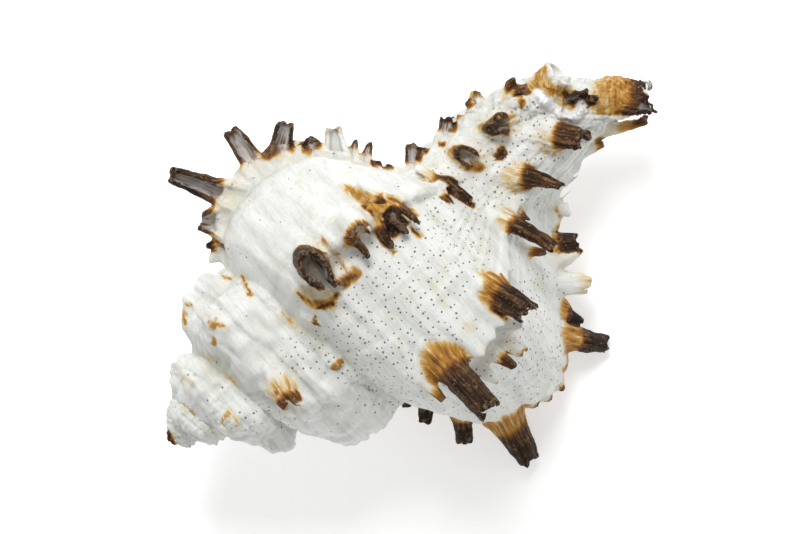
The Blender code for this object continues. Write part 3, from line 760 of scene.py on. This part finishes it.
def broken_fronds(volume):
    fronds = []
    for number, (x, y, gap_x, gap_y, width, length, rise, *shape) in enumerate(BROKEN):
        opening, wall, dark, full, pale = shape
        base = top_point(volume, x, y)
        ahead = photo_way(x, y, gap_x, gap_y)
        way = rise * (UP + BROKEN_LEAN * unit(ahead))
        shape = (width, width, dark, STARTS_BEHIND, full, wall, opening)
        frond = Frond(base, base + way, ahead, *shape, seed=700 + number)
        frond.deep = length / width
        frond.pale, frond.root = pale, CLOSED_ROOT
        fronds.append(frond)
    return fronds


def under_fronds(volume):
    fronds = []
    for t, row in UNDER:
        for number, (along, length, width, lean) in enumerate(row):
            base = row_point(volume, along, t)
            tip, tilt = math.radians(UNDER_LEAN), math.radians(lean)
            way = outward(t) * math.cos(tilt) * math.cos(tip) + onward(t) * math.sin(tip)
            way = unit(way + np.array([math.sin(tilt), 0, 0]))
            shape = (width, width * UNDER_TAPER, UNDER_DARK, STARTS_BEHIND, UNDER_FULL)
            frond = Frond(base, base + way * length, onward(t), *shape, seed=500 - int(t) + number)
            frond.root = UNDER_ROOT
            fronds.append(frond)
    return fronds


def frill(volume, t, low, high, height):
    """A thin scalloped edge along a varix, leaning in the direction of growth, as a closed strip."""
    random = np.random.default_rng(900 - t)
    places = np.arange(low, high, FRILL_STEP)
    steps = np.arange(low - 2, high + 3, FRILL_TOOTH)
    teeth = np.interp(places, steps, random.random(len(steps)))
    lean = unit(outward(t) + FRILL_LEAN * onward(t))
    flat = unit(np.cross(lean, (1.0, 0, 0)))
    half = FRILL_THICKNESS / 2
    rings = []
    for place, tooth in zip(places, teeth):
        root = row_point(volume, place, t)
        fade = min(1.0, (place - low) / FRILL_FADE, (high - place) / FRILL_FADE)
        reach = height * (0.25 + 1.5 * tooth * tooth) * max(fade, 0.1)
        outline = [(-1.2, -half), (reach * 0.6, -half), (reach, 0), (reach * 0.6, half), (-1.2, half)]
        rings.append([root + lean * out + flat * side for out, side in outline])
    return np.array(rings)


def ridge(volume, pixels, height, width, seed):
    """A torn low wall that stands on the surface along a path of the photograph's pixels."""
    random = np.random.default_rng(seed)
    path = spline(pixels, RIDGE_STEPS)
    rings = []
    for number, ((x, y), (dx, dy)) in enumerate(zip(path, np.gradient(path, axis=0))):
        root = top_point(volume, x, y)
        side = unit(np.cross(UP, photo_way(x, y, x + dx, y + dy)))
        fade = min(1.0, (number + 1) / RIDGE_FADE, (RIDGE_STEPS - number) / RIDGE_FADE)
        reach = height * (0.7 + 0.5 * random.random()) * fade
        half = width / 2 * (0.8 + 0.4 * random.random()) * (0.5 + 0.5 * fade)
        outline = [(-1.0, -half), (reach, -0.8 * half), (reach + 0.15, 0), (reach, 0.8 * half), (-1.0, half)]
        rings.append([root + UP * up + side * part for up, part in outline])
    return np.array(rings)


def build_shell():
    """The level set of the shell, its fronds, and the level sets of its chamber and of the canals' ends."""
    shape = Swept(whorls()).level_set()
    shape = joined(shape, Swept(pipe(CANAL), pipe(OLD_CANAL), pipe(APEX)).level_set(), CANAL_JOIN)

    fronds = seen_fronds(shape) + under_fronds(shape) + broken_fronds(shape)
    spines = Swept()
    for frond in fronds:
        spines.add(frond.rings(), folded=frond.deep > 1)
        if frond.fold is not None:
            spines.add(frond.fold)
    for row in RIDGES:
        spines.add(ridge(shape, *row))
    for row in FRILLS:
        spines.add(frill(shape, *row))
    shape = joined(shape, spines.level_set(), FROND_JOIN)

    outside = Swept(whorls(LIP_ANGLE + CHAMBER_START + 4)).level_set()
    room = np.maximum(Swept(chamber()).level_set(), outside + WALL)
    bores = Swept(bore(CANAL_BORE), bore(OLD_BORE)).level_set()
    shape = carved(shape, room, CHAMBER_EDGE)
    shape = carved(shape, Swept(groove()).level_set(), BORE_EDGE)
    shape = carved(shape, bores, BORE_EDGE)

    # Nothing reaches below the surface that the shell lies on
    axes = [(np.arange(size) + low) * VOXEL for low, size in zip(GRID_LOW, GRID_SHAPE)]
    x, y, z = np.meshgrid(*axes, indexing="ij", sparse=True)
    to_x, to_y, to_z = rest_turn()[2]
    height = to_x * x + to_y * y + to_z * z + REST_SHIFT[2]
    return np.maximum(shape, -height.astype(np.float32)), fronds, room, bores


def largest_body(points, faces):
    """Only the largest connected body of a quad mesh."""
    labels = np.arange(len(points))
    while True:
        # Each face gives its lowest label to its four corners
        new = labels.copy()
        lowest = labels[faces].min(axis=1)
        for corner in faces.T:
            np.minimum.at(new, corner, lowest)
        new = new[new]
        if (new == labels).all():
            break
        labels = new
    names, counts = np.unique(labels, return_counts=True)
    kept = labels == names[np.argmax(counts)]
    place = np.cumsum(kept) - 1
    return points[kept], place[faces[kept[faces[:, 0]]]]


def skin(shape):
    """Points and four-sided faces of the largest body in a level set."""
    grid = openvdb.FloatGrid(float(BAND * VOXEL))
    grid.transform = openvdb.createLinearTransform(voxelSize=VOXEL)
    grid.copyFromArray(np.clip(shape, -BAND * VOXEL, BAND * VOXEL).astype(np.float32), ijk=GRID_LOW)
    points, faces = grid.convertToQuads(0)
    return largest_body(points, faces.astype(np.int64))


def make_mesh(name, points, faces):
    mesh = bpy.data.meshes.new(name)
    mesh.vertices.add(len(points))
    mesh.vertices.foreach_set("co", np.asarray(points, np.float32).ravel())
    mesh.loops.add(faces.size)
    mesh.loops.foreach_set("vertex_index", faces.astype(np.int32).ravel())
    mesh.polygons.add(len(faces))
    mesh.polygons.foreach_set("loop_start", np.arange(0, faces.size, faces.shape[1], dtype=np.int32))
    mesh.polygons.foreach_set("use_smooth", np.ones(len(faces), bool))
    mesh.update(calc_edges=True)
    mesh.validate()
    return mesh


def read_mesh(mesh):
    """Points and normals of a mesh."""
    read = []
    for source, name in ((mesh.vertices, "co"), (mesh.vertex_normals, "vector")):
        values = np.empty(len(mesh.vertices) * 3, np.float32)
        source.foreach_get(name, values)
        read.append(values.reshape(-1, 3).astype(float))
    return read


def new_object(name, data):
    made = bpy.data.objects.new(name, data)
    bpy.context.scene.collection.objects.link(made)
    return made


def thinned(points, faces):
    """A mesh of the faces with no more triangles than TRIANGLES."""
    mesh = make_mesh("grown", points, faces)
    source = new_object("grown", mesh)
    thin = source.modifiers.new("thin", "DECIMATE")
    thin.ratio = min(1.0, TRIANGLES / (2 * len(faces)))
    bpy.context.view_layer.update()
    graph = bpy.context.evaluated_depsgraph_get()
    shown = bpy.data.meshes.new_from_object(source.evaluated_get(graph))
    bpy.data.objects.remove(source)
    bpy.data.meshes.remove(mesh)
    return shown


def crowding(shape, radius):
    """How much of the shell's own material is around each voxel: a running mean over cubes, taken twice."""
    volume = (shape < 0).astype(np.float32)
    reach = max(1, round(radius / VOXEL))
    for axis in (0, 1, 2, 0, 1, 2):
        total = np.cumsum(volume, axis=axis, dtype=np.float32)
        ahead = np.roll(total, -reach, axis=axis)
        behind = np.roll(total, reach + 1, axis=axis)
        volume = (ahead - behind) / (2 * reach + 1)
    return volume


def growth_angle(points):
    """Growth angle of the whorl that is nearest to each point."""
    reach = np.hypot(points[:, 1], points[:, 2])
    angle = np.degrees(np.arctan2(points[:, 2], -points[:, 1]))
    radii, places = np.array(PROFILE).T
    best = np.full(len(points), np.inf)
    growth = np.full(len(points), float(LIP_ANGLE))
    for turn in range(FIRST_ANGLE // 360, 1):
        t = -angle + 360 * turn
        t = np.where(t > LIP_ANGLE + 6, t - 360, t)
        scale = growth_scale(t)
        along = (points[:, 0] + LOST_TIP) / scale
        radius = np.interp(along, places, radii, left=0, right=0) * scale
        miss = np.abs(reach - radius)
        closer = miss < best
        best = np.where(closer, miss, best)
        growth = np.where(closer, t, growth)
    return growth


def relief(points, on_frond):
    """How far each point is pushed out: lumps on the old whorls, growth lines and spiral folds."""
    growth = growth_angle(points)
    scale = growth_scale(growth)
    older = smooth_step(-growth, *WORN_WHORLS)
    bare = 1 - on_frond
    # Growth lines run along the axis, folds run with the spiral
    lines = np.stack([points[:, 0] / scale * 0.10, growth / 360 * 220, 0 * growth], -1)
    folds = np.stack([(points[:, 0] + LOST_TIP) / scale, growth / 360 * 30, 0 * growth], -1)
    # Where it shows, the places that it is read at, the size of its cells, its height in mm, and its seed
    layers = (
        (older, points, 4.6, 1.8, 3), (older, points, 2.2, 1.2, 16), (1.0, points, 0.9, 0.10, 4),
        (on_frond, points, 1.6, 0.40, 14), (on_frond, points, 0.8, 0.16, 15),
        (bare, lines, 1.4, 0.40, 8), (bare, folds, 1.7, 0.55, 9),
    )
    return sum(where * height * (noise(at, cell, seed) - 0.5) for where, at, cell, height, seed in layers)


def frond_fields(fronds, points):
    """For each point: how brown, how far in a channel, on a tip and on a frond, and its place on it."""
    # Each smooth_step is a soft edge, in mm or in shares of the frond's length
    tone, channel, tips, on_frond = np.zeros((4, len(points)))
    flow = np.zeros((len(points), 3))
    for frond in fronds:
        middle = (frond.base + frond.tip) / 2
        span = frond.length / 2 + frond.base_width * frond.deep + FIELD_MARGIN
        rows = np.nonzero(((points - middle) ** 2).sum(axis=1) < span * span)[0]
        if not len(rows):
            continue
        share = (points[rows] - frond.base) @ frond.way / frond.length
        radial = points[rows] - frond.middle(share)
        radial -= np.outer(radial @ frond.way, frond.way)
        away = np.hypot(radial @ frond.side, radial @ frond.hollow / frond.deep)
        half = frond.half_width(share)
        near = 1 - smooth_step(away - half, 0.35, 0.85)
        near *= smooth_step(share * frond.length, -1.6, 0.2) * (1 - smooth_step(share, 1.15, 1.3))
        here = frond.dark * smooth_step(share, frond.starts + 0.06, frond.full + 0.14) * near
        # The coloured root that leads up to the frond from behind, where the colour starts at the base
        behind = np.maximum(-share * frond.length, 0)
        beside = np.maximum(away - half, 0)
        reach = np.hypot(behind / ROOT_REACH, beside / ROOT_SIDE) / frond.base_width
        rooted = (share < 0.6) * (frond.starts <= 0.05)
        root = ROOT_TONE * frond.root * frond.dark * (1 - smooth_step(reach, 0.0, 1.0)) * rooted
        claimed = np.maximum(near, (1 - smooth_step(reach, 0.75, 1.05)) * rooted)
        halo = HALO_TONE * frond.dark * (1 - smooth_step(away - half, 0.3, HALO_REACH))
        halo *= smooth_step(share * frond.length, -2.5, -0.5) * (1 - smooth_step(share, 0.6, 1.0))
        here = np.maximum(here, np.maximum(root, halo))
        middle_of_wall = half - 0.6 * frond.wall
        hollow = 1 - smooth_step(away - middle_of_wall, -0.15, 0.15)
        hollow *= near * smooth_step(share, 0.0, 0.12) * frond.pale
        tone[rows] = np.maximum(tone[rows], here)
        channel[rows] = np.maximum(channel[rows], hollow)
        tips[rows] = np.maximum(tips[rows], near * smooth_step((share - 1) * frond.length, -1.0, -0.2))
        # The frond that claims a point most gives it its place
        closer = claimed > on_frond[rows]
        chosen = rows[closer]
        around = np.arctan2(radial @ frond.side, -(radial @ frond.hollow)) * half
        on_frond[chosen] = claimed[closer]
        flow[chosen, 0] = around[closer]
        flow[chosen, 1] = share[closer] * frond.length
        flow[chosen, 2] = frond.seed * FROND_APART
    return tone, channel, tips, on_frond, flow


def stroke_tone(points, normals, x, y):
    """The thin lines, drawn on the upper side only."""
    tone = np.zeros(len(points))
    for x0, y0, x1, y1, first, last, dark in STROKES:
        way = np.array([x1 - x0, y1 - y0], float)
        share = np.clip(((x - x0) * way[0] + (y - y0) * way[1]) / (way @ way), 0, 1)
        away = np.hypot(x - x0 - share * way[0], y - y0 - share * way[1]) / PHOTO_SCALE
        half = (first + (last - first) * share) / 2
        halo = min(dark, STROKE_HALO) * (1 - smooth_step(away - half, 0.1, 0.9))
        tone = np.maximum(tone, np.maximum(dark * (1 - smooth_step(away / half, 0.3, 1.5)), halo))
    frayed = 0.7 + 0.5 * noise(points, 0.8, 22)
    return tone * frayed * smooth_step(normals[:, 2], -0.4, -0.1)


def spout_tone(points, x, y):
    """The canal's end, golden and then dark towards its tip."""
    gold, dark = SPOUT_TONES
    spout = smooth_step(x, *SPOUT_GOLD) * smooth_step(points[:, 0], SPOUT_FROM, SPOUT_FROM + 2)
    spout *= smooth_step(-points[:, 1], -1.5, 1.0) * (1 - smooth_step(y, *SPOUT_ENDS))
    darker = smooth_step(x + SPOUT_SLANT * np.maximum(y - SPOUT_EDGE, 0), *SPOUT_DARK)
    return spout * (gold + (dark - gold) * darker)


def skin_flow(points, x, y):
    """The direction of streaks away from fronds: around the whorls, and along the photograph on the spout."""
    whorl = np.stack([points[:, 0], SPIRAL_LENGTH * growth_scale(growth_angle(points)), 0 * x], -1)
    spout = np.stack([SPOUT_BANDS * x / PHOTO_SCALE, y / PHOTO_SCALE, points[:, 2]], -1)
    return np.where((points[:, 0] > SPOUT_FROM)[:, None], spout, whorl)


def oval(x, y, middle_x, middle_y, half_x, half_y):
    """How far pixels are from the middle of an oval, as a share of its half axes."""
    return np.hypot((x - middle_x) / half_x, (y - middle_y) / half_y)


def pore_density(points, normals, x, y):
    upper = smooth_step(normals[:, 2], 0.0, 0.3)
    density = np.full(len(points), PORES_ELSEWHERE)
    for *place, dense in PORE_SPOTS:
        density = np.maximum(density, dense * (1 - smooth_step(oval(x, y, *place), 0.6, 1.15)) * upper)
    return density * (0.65 + 0.7 * noise(points, 4.0, 5))


def freshly_broken(points, normals, x, y, bores):
    """How white each point is from a break: the rims of the canals' ends, a torn wall, bare spots."""
    fresh = (1 - smooth_step(sample(bores, points), 0.1, 0.35)) * smooth_step(normals[:, 0], -0.2, 0.4)
    fresh *= points[:, 0] > SPOUT_FROM
    torn = spline(WHITE_RIDGE, 30)
    away = np.min(np.hypot(x[:, None] - torn[:, 0], y[:, None] - torn[:, 1]), axis=1) / PHOTO_SCALE
    fresh = np.maximum(fresh, (1 - smooth_step(away, 0.5, 1.0)) * smooth_step(normals[:, 2], -0.4, 0.1))
    frayed = 0.9 * (noise(points, 1.2, 21) - 0.5)
    upper = smooth_step(normals[:, 2], -0.3, 0.1)
    for *place, white in BARE_SPOTS:
        fresh = np.maximum(fresh, white * (1 - smooth_step(oval(x, y, *place) + frayed, 0.7, 1.1)) * upper)
    return fresh


def dress(shape, fronds, room, bores):
    """The finished mesh with all that its material reads."""
    points, faces = skin(shape)
    mesh = make_mesh("grown", points, faces)
    _, normals = read_mesh(mesh)
    bpy.data.meshes.remove(mesh)
    tone, _, _, on_frond, _ = frond_fields(fronds, points)
    push = relief(points, on_frond * smooth_step(tone, 0.05, 0.30))
    # What the shell lies on stays flat
    low = (points @ rest_turn().T + REST_SHIFT)[:, 2]
    push *= smooth_step(low, 0.2, 1.5)
    shown = thinned(points + normals * push[:, None], faces)

    points, normals = read_mesh(shown)
    x, y = photo_pixels(points)
    tone, channel, tips, on_frond, flow = frond_fields(fronds, points)
    inside = 1 - smooth_step(np.abs(sample(room, points)), 0.5, 0.9)
    fresh = freshly_broken(points, normals, x, y, bores)
    tone = np.maximum(tone, stroke_tone(points, normals, x, y))
    tone = np.maximum(tone, spout_tone(points, x, y)) * (1 - fresh)
    plain = (1 - smooth_step(tone, 0.1, 0.5)) * (1 - inside)
    # How crowded each point is, read for the painted shade in crevices and hollows. About half of what
    # surrounds a flat place is the shell's own material
    near, wide = (sample(crowding(shape, reach), points) for reach in (CREVICE_REACH, HOLLOW_REACH))
    fields = {
        "tone": tone,
        "channel": channel,
        "tips": tips,
        "on_frond": on_frond,
        "flow": np.where(on_frond[:, None] > 0.5, flow, skin_flow(points, x, y)),
        "inside": inside,
        "crevice": np.clip((near - 0.5) * 3.2, -1, 1),
        "hollow": np.clip((wide - 0.48) * 3.0, -1, 1),
        "pores": pore_density(points, normals, x, y) * plain,
        "fresh": fresh,
    }
    for name, values in fields.items():
        kind, slot = ("FLOAT", "value") if values.ndim == 1 else ("FLOAT_VECTOR", "vector")
        attribute = shown.attributes.new(name, kind, "POINT")
        attribute.data.foreach_set(slot, values.astype(np.float32).ravel())
    return shown


class Value:
    """A node's output, for sums and products that are written in the usual way."""

    def __init__(self, nodes, socket):
        self.nodes, self.socket = nodes, socket

    def __add__(self, other):
        return self.nodes.math("ADD", self, other)

    def __sub__(self, other):
        return self.nodes.math("SUBTRACT", self, other)

    def __rsub__(self, other):
        return self.nodes.math("SUBTRACT", other, self)

    def __mul__(self, other):
        return self.nodes.math("MULTIPLY", self, other)


class Nodes:
    """A short way to write a material's nodes."""

    def __init__(self, name):
        self.material = bpy.data.materials.new(name)
        self.material.use_nodes = True
        self.tree = self.material.node_tree
        self.shader = self.tree.nodes["Principled BSDF"]

    def put(self, socket, value):
        if isinstance(value, Value):
            self.tree.links.new(value.socket, socket)
        else:
            socket.default_value = value

    def node(self, kind, *values, **named):
        """A new node. Names with a capital are its inputs, the others are its settings."""
        node = self.tree.nodes.new("ShaderNode" + kind)
        for name, value in named.items():
            if name[0].isupper():
                self.put(node.inputs[name], value)
            else:
                setattr(node, name, value)
        for socket, value in zip(node.inputs, values):
            self.put(socket, value)
        return node

    def add(self, kind, *values, out=0, **named):
        return Value(self, self.node(kind, *values, **named).outputs[out])

    def parts(self, kind, value):
        """All outputs of a node that takes a vector or colour apart."""
        return [Value(self, socket) for socket in self.node(kind, value).outputs]

    def math(self, operation, *values, clamp=False):
        return self.add("Math", *values, operation=operation, use_clamp=clamp)

    def vector(self, operation, *values):
        return self.add("VectorMath", *values, operation=operation)

    def read(self, name, out="Fac"):
        return self.add("Attribute", attribute_name=name, out=out)

    def noise(self, vector, scale, detail=3.0, roughness=0.55):
        return self.add("TexNoise", Vector=vector, Scale=scale, Detail=detail, Roughness=roughness, out="Fac")

    def drawn_out(self, flow, along, scale, detail=3.0, roughness=0.55):
        """Noise drawn out along the flow."""
        return self.noise(self.vector("MULTIPLY", flow, (1.0, along, 1.0)), scale, detail, roughness)

    def streaks(self, flow, along, scale, calm, detail=3.0, roughness=0.55):
        """Noise drawn out along the flow, which fades to its mean where calm is 0."""
        drawn = self.drawn_out(flow, along, scale, detail, roughness)
        return self.math("MULTIPLY_ADD", drawn - 0.5, calm, 0.5)

    def between(self, value, low, high, to_low=0.0, to_high=1.0):
        """A smooth step as the value goes from low to high."""
        return self.add("MapRange", value, low, high, to_low, to_high, interpolation_type="SMOOTHSTEP")

    def mix(self, share, first, second):
        """Two colours mixed: share says how much there is of the second."""
        node = self.node("Mix", share, data_type="RGBA")
        for socket, tint in zip(node.inputs[6:8], (first, second)):
            self.put(socket, tint if isinstance(tint, Value) else colour(*tint))
        return Value(self, node.outputs[2])

    def layers(self, base, *layers):
        """A colour with others over it, each given as (how much of it, colour)."""
        for share, tint in layers:
            base = self.mix(share, base, tint)
        return base

    def ramp(self, value, *stops):
        node = self.node("ValToRGB", value)
        elements = node.color_ramp.elements
        while len(elements) < len(stops):
            elements.new(0.5)
        for element, (place, tint) in zip(elements, stops):
            element.position = place
            element.color = colour(*tint)
        return Value(self, node.outputs["Color"])

    def shade(self, inputs):
        for name, value in inputs.items():
            self.put(self.shader.inputs[name], value)


def colour(red, green, blue):
    """A colour given as it looks on a screen, 0 to 255, for a shader's socket."""
    linear = [((part / 255 + 0.055) / 1.055) ** 2.4 for part in (red, green, blue)]
    return (*linear, 1.0)


def pore_dots(n, spot):
    """Small dark dots, one in each cell of a grid seen along the nearest axis."""
    x, y, z = n.parts("SeparateXYZ", spot)
    steep = n.vector("ABSOLUTE", n.add("NewGeometry", out="Normal"))
    steep_x, steep_y, steep_z = n.parts("SeparateXYZ", steep)
    across_x = n.math("GREATER_THAN", steep_x, n.math("MAXIMUM", steep_y, steep_z))
    across_y = n.math("GREATER_THAN", steep_y, n.math("MAXIMUM", steep_x, steep_z))
    flat = n.add("CombineXYZ", x + across_x * (z - x), y + across_y * (z - y), 0.0)
    cells = n.node("TexVoronoi", voronoi_dimensions="2D", Vector=flat, Scale=0.74, Randomness=0.85)
    size, chance, _ = n.parts("SeparateColor", Value(n, cells.outputs["Color"]))
    size = n.between(size, 0.0, 1.0, 0.075, 0.125)
    there = n.math("GREATER_THAN", n.read("pores"), chance)
    return n.between(Value(n, cells.outputs["Distance"]), size * 0.6, size * 1.5, 1.0, 0.0) * there


def shell_material():
    n = Nodes("shell")
    spot = n.vector("MULTIPLY", n.add("TexCoord", out="Object"), (1 / MM, 1 / MM, 1 / MM))
    names = ("tone", "channel", "tips", "crevice", "hollow", "inside", "on_frond", "fresh")
    tone, channel, tips, crevice, hollow, inside, on_frond, fresh = [n.read(name) for name in names]
    flow = n.read("flow", "Vector")

    # Streaks that follow growth on the whorls and the length of each frond, and noise in all directions
    calm = n.between(n.math("ABSOLUTE", on_frond - 0.5), 0.10, 0.45)
    streaks = n.streaks(flow, 0.16, 1.7, calm, detail=4.0)
    broad_streaks = n.streaks(flow, 0.09, 0.42, calm)
    fine_streaks = n.streaks(flow, 0.10, 3.0, calm, detail=4.0, roughness=0.6)
    veins = n.streaks(flow, 0.13, 0.75, calm, detail=5.0, roughness=0.65)
    clouds = n.noise(spot, 0.16, detail=4.0)
    grain = n.noise(spot, 1.5, detail=5.0, roughness=0.65)
    speckle = n.noise(spot, 2.3, detail=4.0, roughness=0.7)

    # White of the shell: chalky, with sandy patches and dark pores, and with painted shade, cooler and
    # greener, in crevices and hollows
    pore = pore_dots(n, spot)
    # Painted shade: a darker, greener grey where much of the shell's own material lies close around a point
    painted_crevice_shade = n.between(crevice, 0.02, 0.9, 0.0, 0.32), n.between(hollow, 0.1, 0.9, 0.0, 0.08)
    patches = n.between(n.noise(spot, 0.22, detail=4.0), 0.52, 0.66) * n.between(veins, 0.40, 0.60)
    stain = n.between(clouds, 0.5, 0.72) * n.between(streaks, 0.45, 0.7)
    chalk = n.layers(
        n.mix(n.between(clouds, 0.35, 0.7), (238, 238, 234), (229, 231, 227)),
        (n.between(broad_streaks, 0.45, 0.72, 0.0, 0.5), (200, 203, 198)),
        (n.between(streaks, 0.50, 0.75, 0.0, 0.4), (242, 243, 240)),
        (n.math("ADD", *painted_crevice_shade, clamp=True), (190, 191, 172)),
        (n.between(veins, 0.54, 0.68, 0.0, 0.34), (184, 190, 184)),
        (patches * 0.42, (214, 208, 172)),
        (stain * 0.22, (214, 205, 165)),
        (n.between(speckle, 0.48, 0.66, 0.0, 0.30), (202, 204, 198)),
        (n.between(fine_streaks, 0.50, 0.66, 0.0, 0.34), (196, 200, 194)),
        (pore * 0.92, (84, 78, 66)),
    )

    # Browns of the fronds, from golden at the root to nearly black
    lift = ((streaks - 0.5) * 0.75 + (grain - 0.5) * 0.12) * n.between(tone, 0.0, 0.25)
    shade = n.math("ADD", tone, lift * n.between(tone, 0.45, 0.85, 1.0, 0.25), clamp=True)
    brown = n.ramp(
        shade,
        (0.0, (226, 219, 196)), (0.13, (216, 190, 132)), (0.27, (188, 136, 56)),
        (0.42, (126, 78, 33)), (0.60, (66, 40, 23)), (1.0, (24, 14, 8)),
    )
    # Ribs along each frond, lighter on top, dark furrows, pale channels and worn tips
    ribs = n.between(n.drawn_out(flow, 0.08, 1.5, roughness=0.7), 0.42, 0.60) * on_frond * (1.0 - tips)
    ridge_tops = ribs * n.between(grain, 0.34, 0.62, 0.15, 0.8) * n.between(shade, 0.35, 0.6)
    furrows = n.between(n.drawn_out(flow, 0.07, 2.6, detail=2.0, roughness=0.6), 0.54, 0.64, 0.0, 0.7)
    specks = n.between(n.noise(spot, 1.7, detail=4.0), 0.60, 0.68) * n.between(shade, 0.35, 0.6, 0.0, 0.6)
    lining = n.mix(n.between(streaks, 0.46, 0.66), (226, 223, 220), (138, 106, 80))
    worn = n.between(grain, 0.48, 0.62) * n.between(tips, 0.0, 1.0, 0.0, 0.6)
    brown = n.layers(
        brown,
        (ridge_tops * n.between(tone, 0.85, 1.0, 1.0, 0.16), (140, 104, 68)),
        (furrows * n.between(shade, 0.3, 0.5), (30, 19, 13)),
        (specks, (150, 122, 90)),
        (channel, n.mix(tips, lining, (92, 66, 50))),
        (worn, (158, 132, 104)),
    )
    within = n.mix(n.between(clouds, 0.4, 0.65), (240, 234, 224), (226, 212, 200))

    # Fine relief: streaks, ribs and pits
    height = (fine_streaks - 0.5) * n.between(tone, 0.0, 0.4, 0.30, 0.50)
    height = height + ribs * n.between(tone, 0.1, 0.4) * 0.32 + speckle * 0.16
    height = height + grain * tips * 0.5 + grain * 0.10 - pore * 0.16
    n.shade({
        "Base Color": n.layers(
            chalk, (n.between(shade, 0.02, 0.20), brown), (inside, within), (fresh * 0.9, (246, 245, 243)),
        ),
        "Roughness": n.between(grain, 0.3, 0.7, 0.50, 0.66) - inside * 0.28,
        "Specular IOR Level": n.between(shade, 0.3, 0.6, 0.22, 0.13),
        "Subsurface Weight": 0.06,
        "Subsurface Radius": (0.9, 0.7, 0.5),
        "Subsurface Scale": 0.001,
        "Normal": n.add("Bump", Strength=0.6, Distance=0.0006, Height=height, out="Normal"),
    })
    return n.material


def floor_material():
    n = Nodes("floor")
    soft = n.noise(n.add("TexCoord", out="Object"), 3.0, detail=2.0)
    n.shade({
        "Base Color": n.mix(soft, (244, 244, 244), (240, 240, 240)),
        "Roughness": 0.9,
        "Emission Color": (1, 1, 1, 1),
        "Emission Strength": 0.4,
    })
    return n.material


def set_camera():
    """The camera at the photograph's viewing angle and with its frame."""
    turn = rest_turn()
    climb = math.radians(PHOTO_CLIMB)
    middle = from_photo(PHOTO_SIZE[0] / 2, PHOTO_SIZE[1] / 2)
    target = (turn @ np.array([*middle, PHOTO_MIDDLE_HEIGHT]) + REST_SHIFT) * MM
    right = turn @ np.array([math.cos(climb), -math.sin(climb), 0])
    up = turn @ np.array([math.sin(climb), math.cos(climb), 0])
    back = turn @ UP
    camera = bpy.data.cameras.new("camera")
    camera.sensor_width = SENSOR
    camera.lens = SENSOR * CAMERA_DISTANCE / (PHOTO_SIZE[0] / PHOTO_SCALE * MM)
    camera.clip_start = 0.05
    made = new_object("camera", camera)
    frame_axes = Matrix((right, up, back)).transposed().to_4x4()
    made.matrix_world = Matrix.Translation(target + back * CAMERA_DISTANCE) @ frame_axes
    bpy.context.scene.camera = made


def set_stage():
    """A pale floor, white surroundings and one large soft lamp."""
    mesh = bpy.data.meshes.new("floor")
    reach = 2.5
    corners = [(-reach, -reach, 0), (reach, -reach, 0), (reach, reach, 0), (-reach, reach, 0)]
    mesh.from_pydata(corners, [], [(0, 1, 2, 3)])
    floor = new_object("floor", mesh)
    floor.data.materials.append(floor_material())

    world = bpy.data.worlds.new("studio")
    world.use_nodes = True
    background = world.node_tree.nodes["Background"]
    background.inputs["Color"].default_value = (1.0, 1.0, 1.0, 1)
    background.inputs["Strength"].default_value = 0.50
    bpy.context.scene.world = world

    light = bpy.data.lights.new("key", "AREA")
    light.shape = "DISK"
    light.size = 0.45
    light.energy = 6.5
    place, target = Vector((0.36, 0.42, 0.84)), Vector((0, 0, 0.02))
    lamp = new_object("key", light)
    lamp.location = place
    lamp.rotation_euler = (target - place).to_track_quat("-Z", "Y").to_euler()
    view = bpy.context.scene.view_settings
    view.view_transform = "Standard"
    view.look = "None"


def main():
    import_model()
    set_camera()
    set_stage()
    mesh = dress(*build_shell())
    turned = Matrix(rest_turn()).to_4x4() @ Matrix.Scale(MM, 4)
    mesh.transform(Matrix.Translation(Vector(REST_SHIFT) * MM) @ turned)
    mesh.name = "shell_skin"
    shell = new_object("shell_skin", mesh)
    shell.data.materials.append(shell_material())
    for polygon in shell.data.polygons:
        polygon.use_smooth = True
    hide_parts("shell")
    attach(shell, "root")


main()
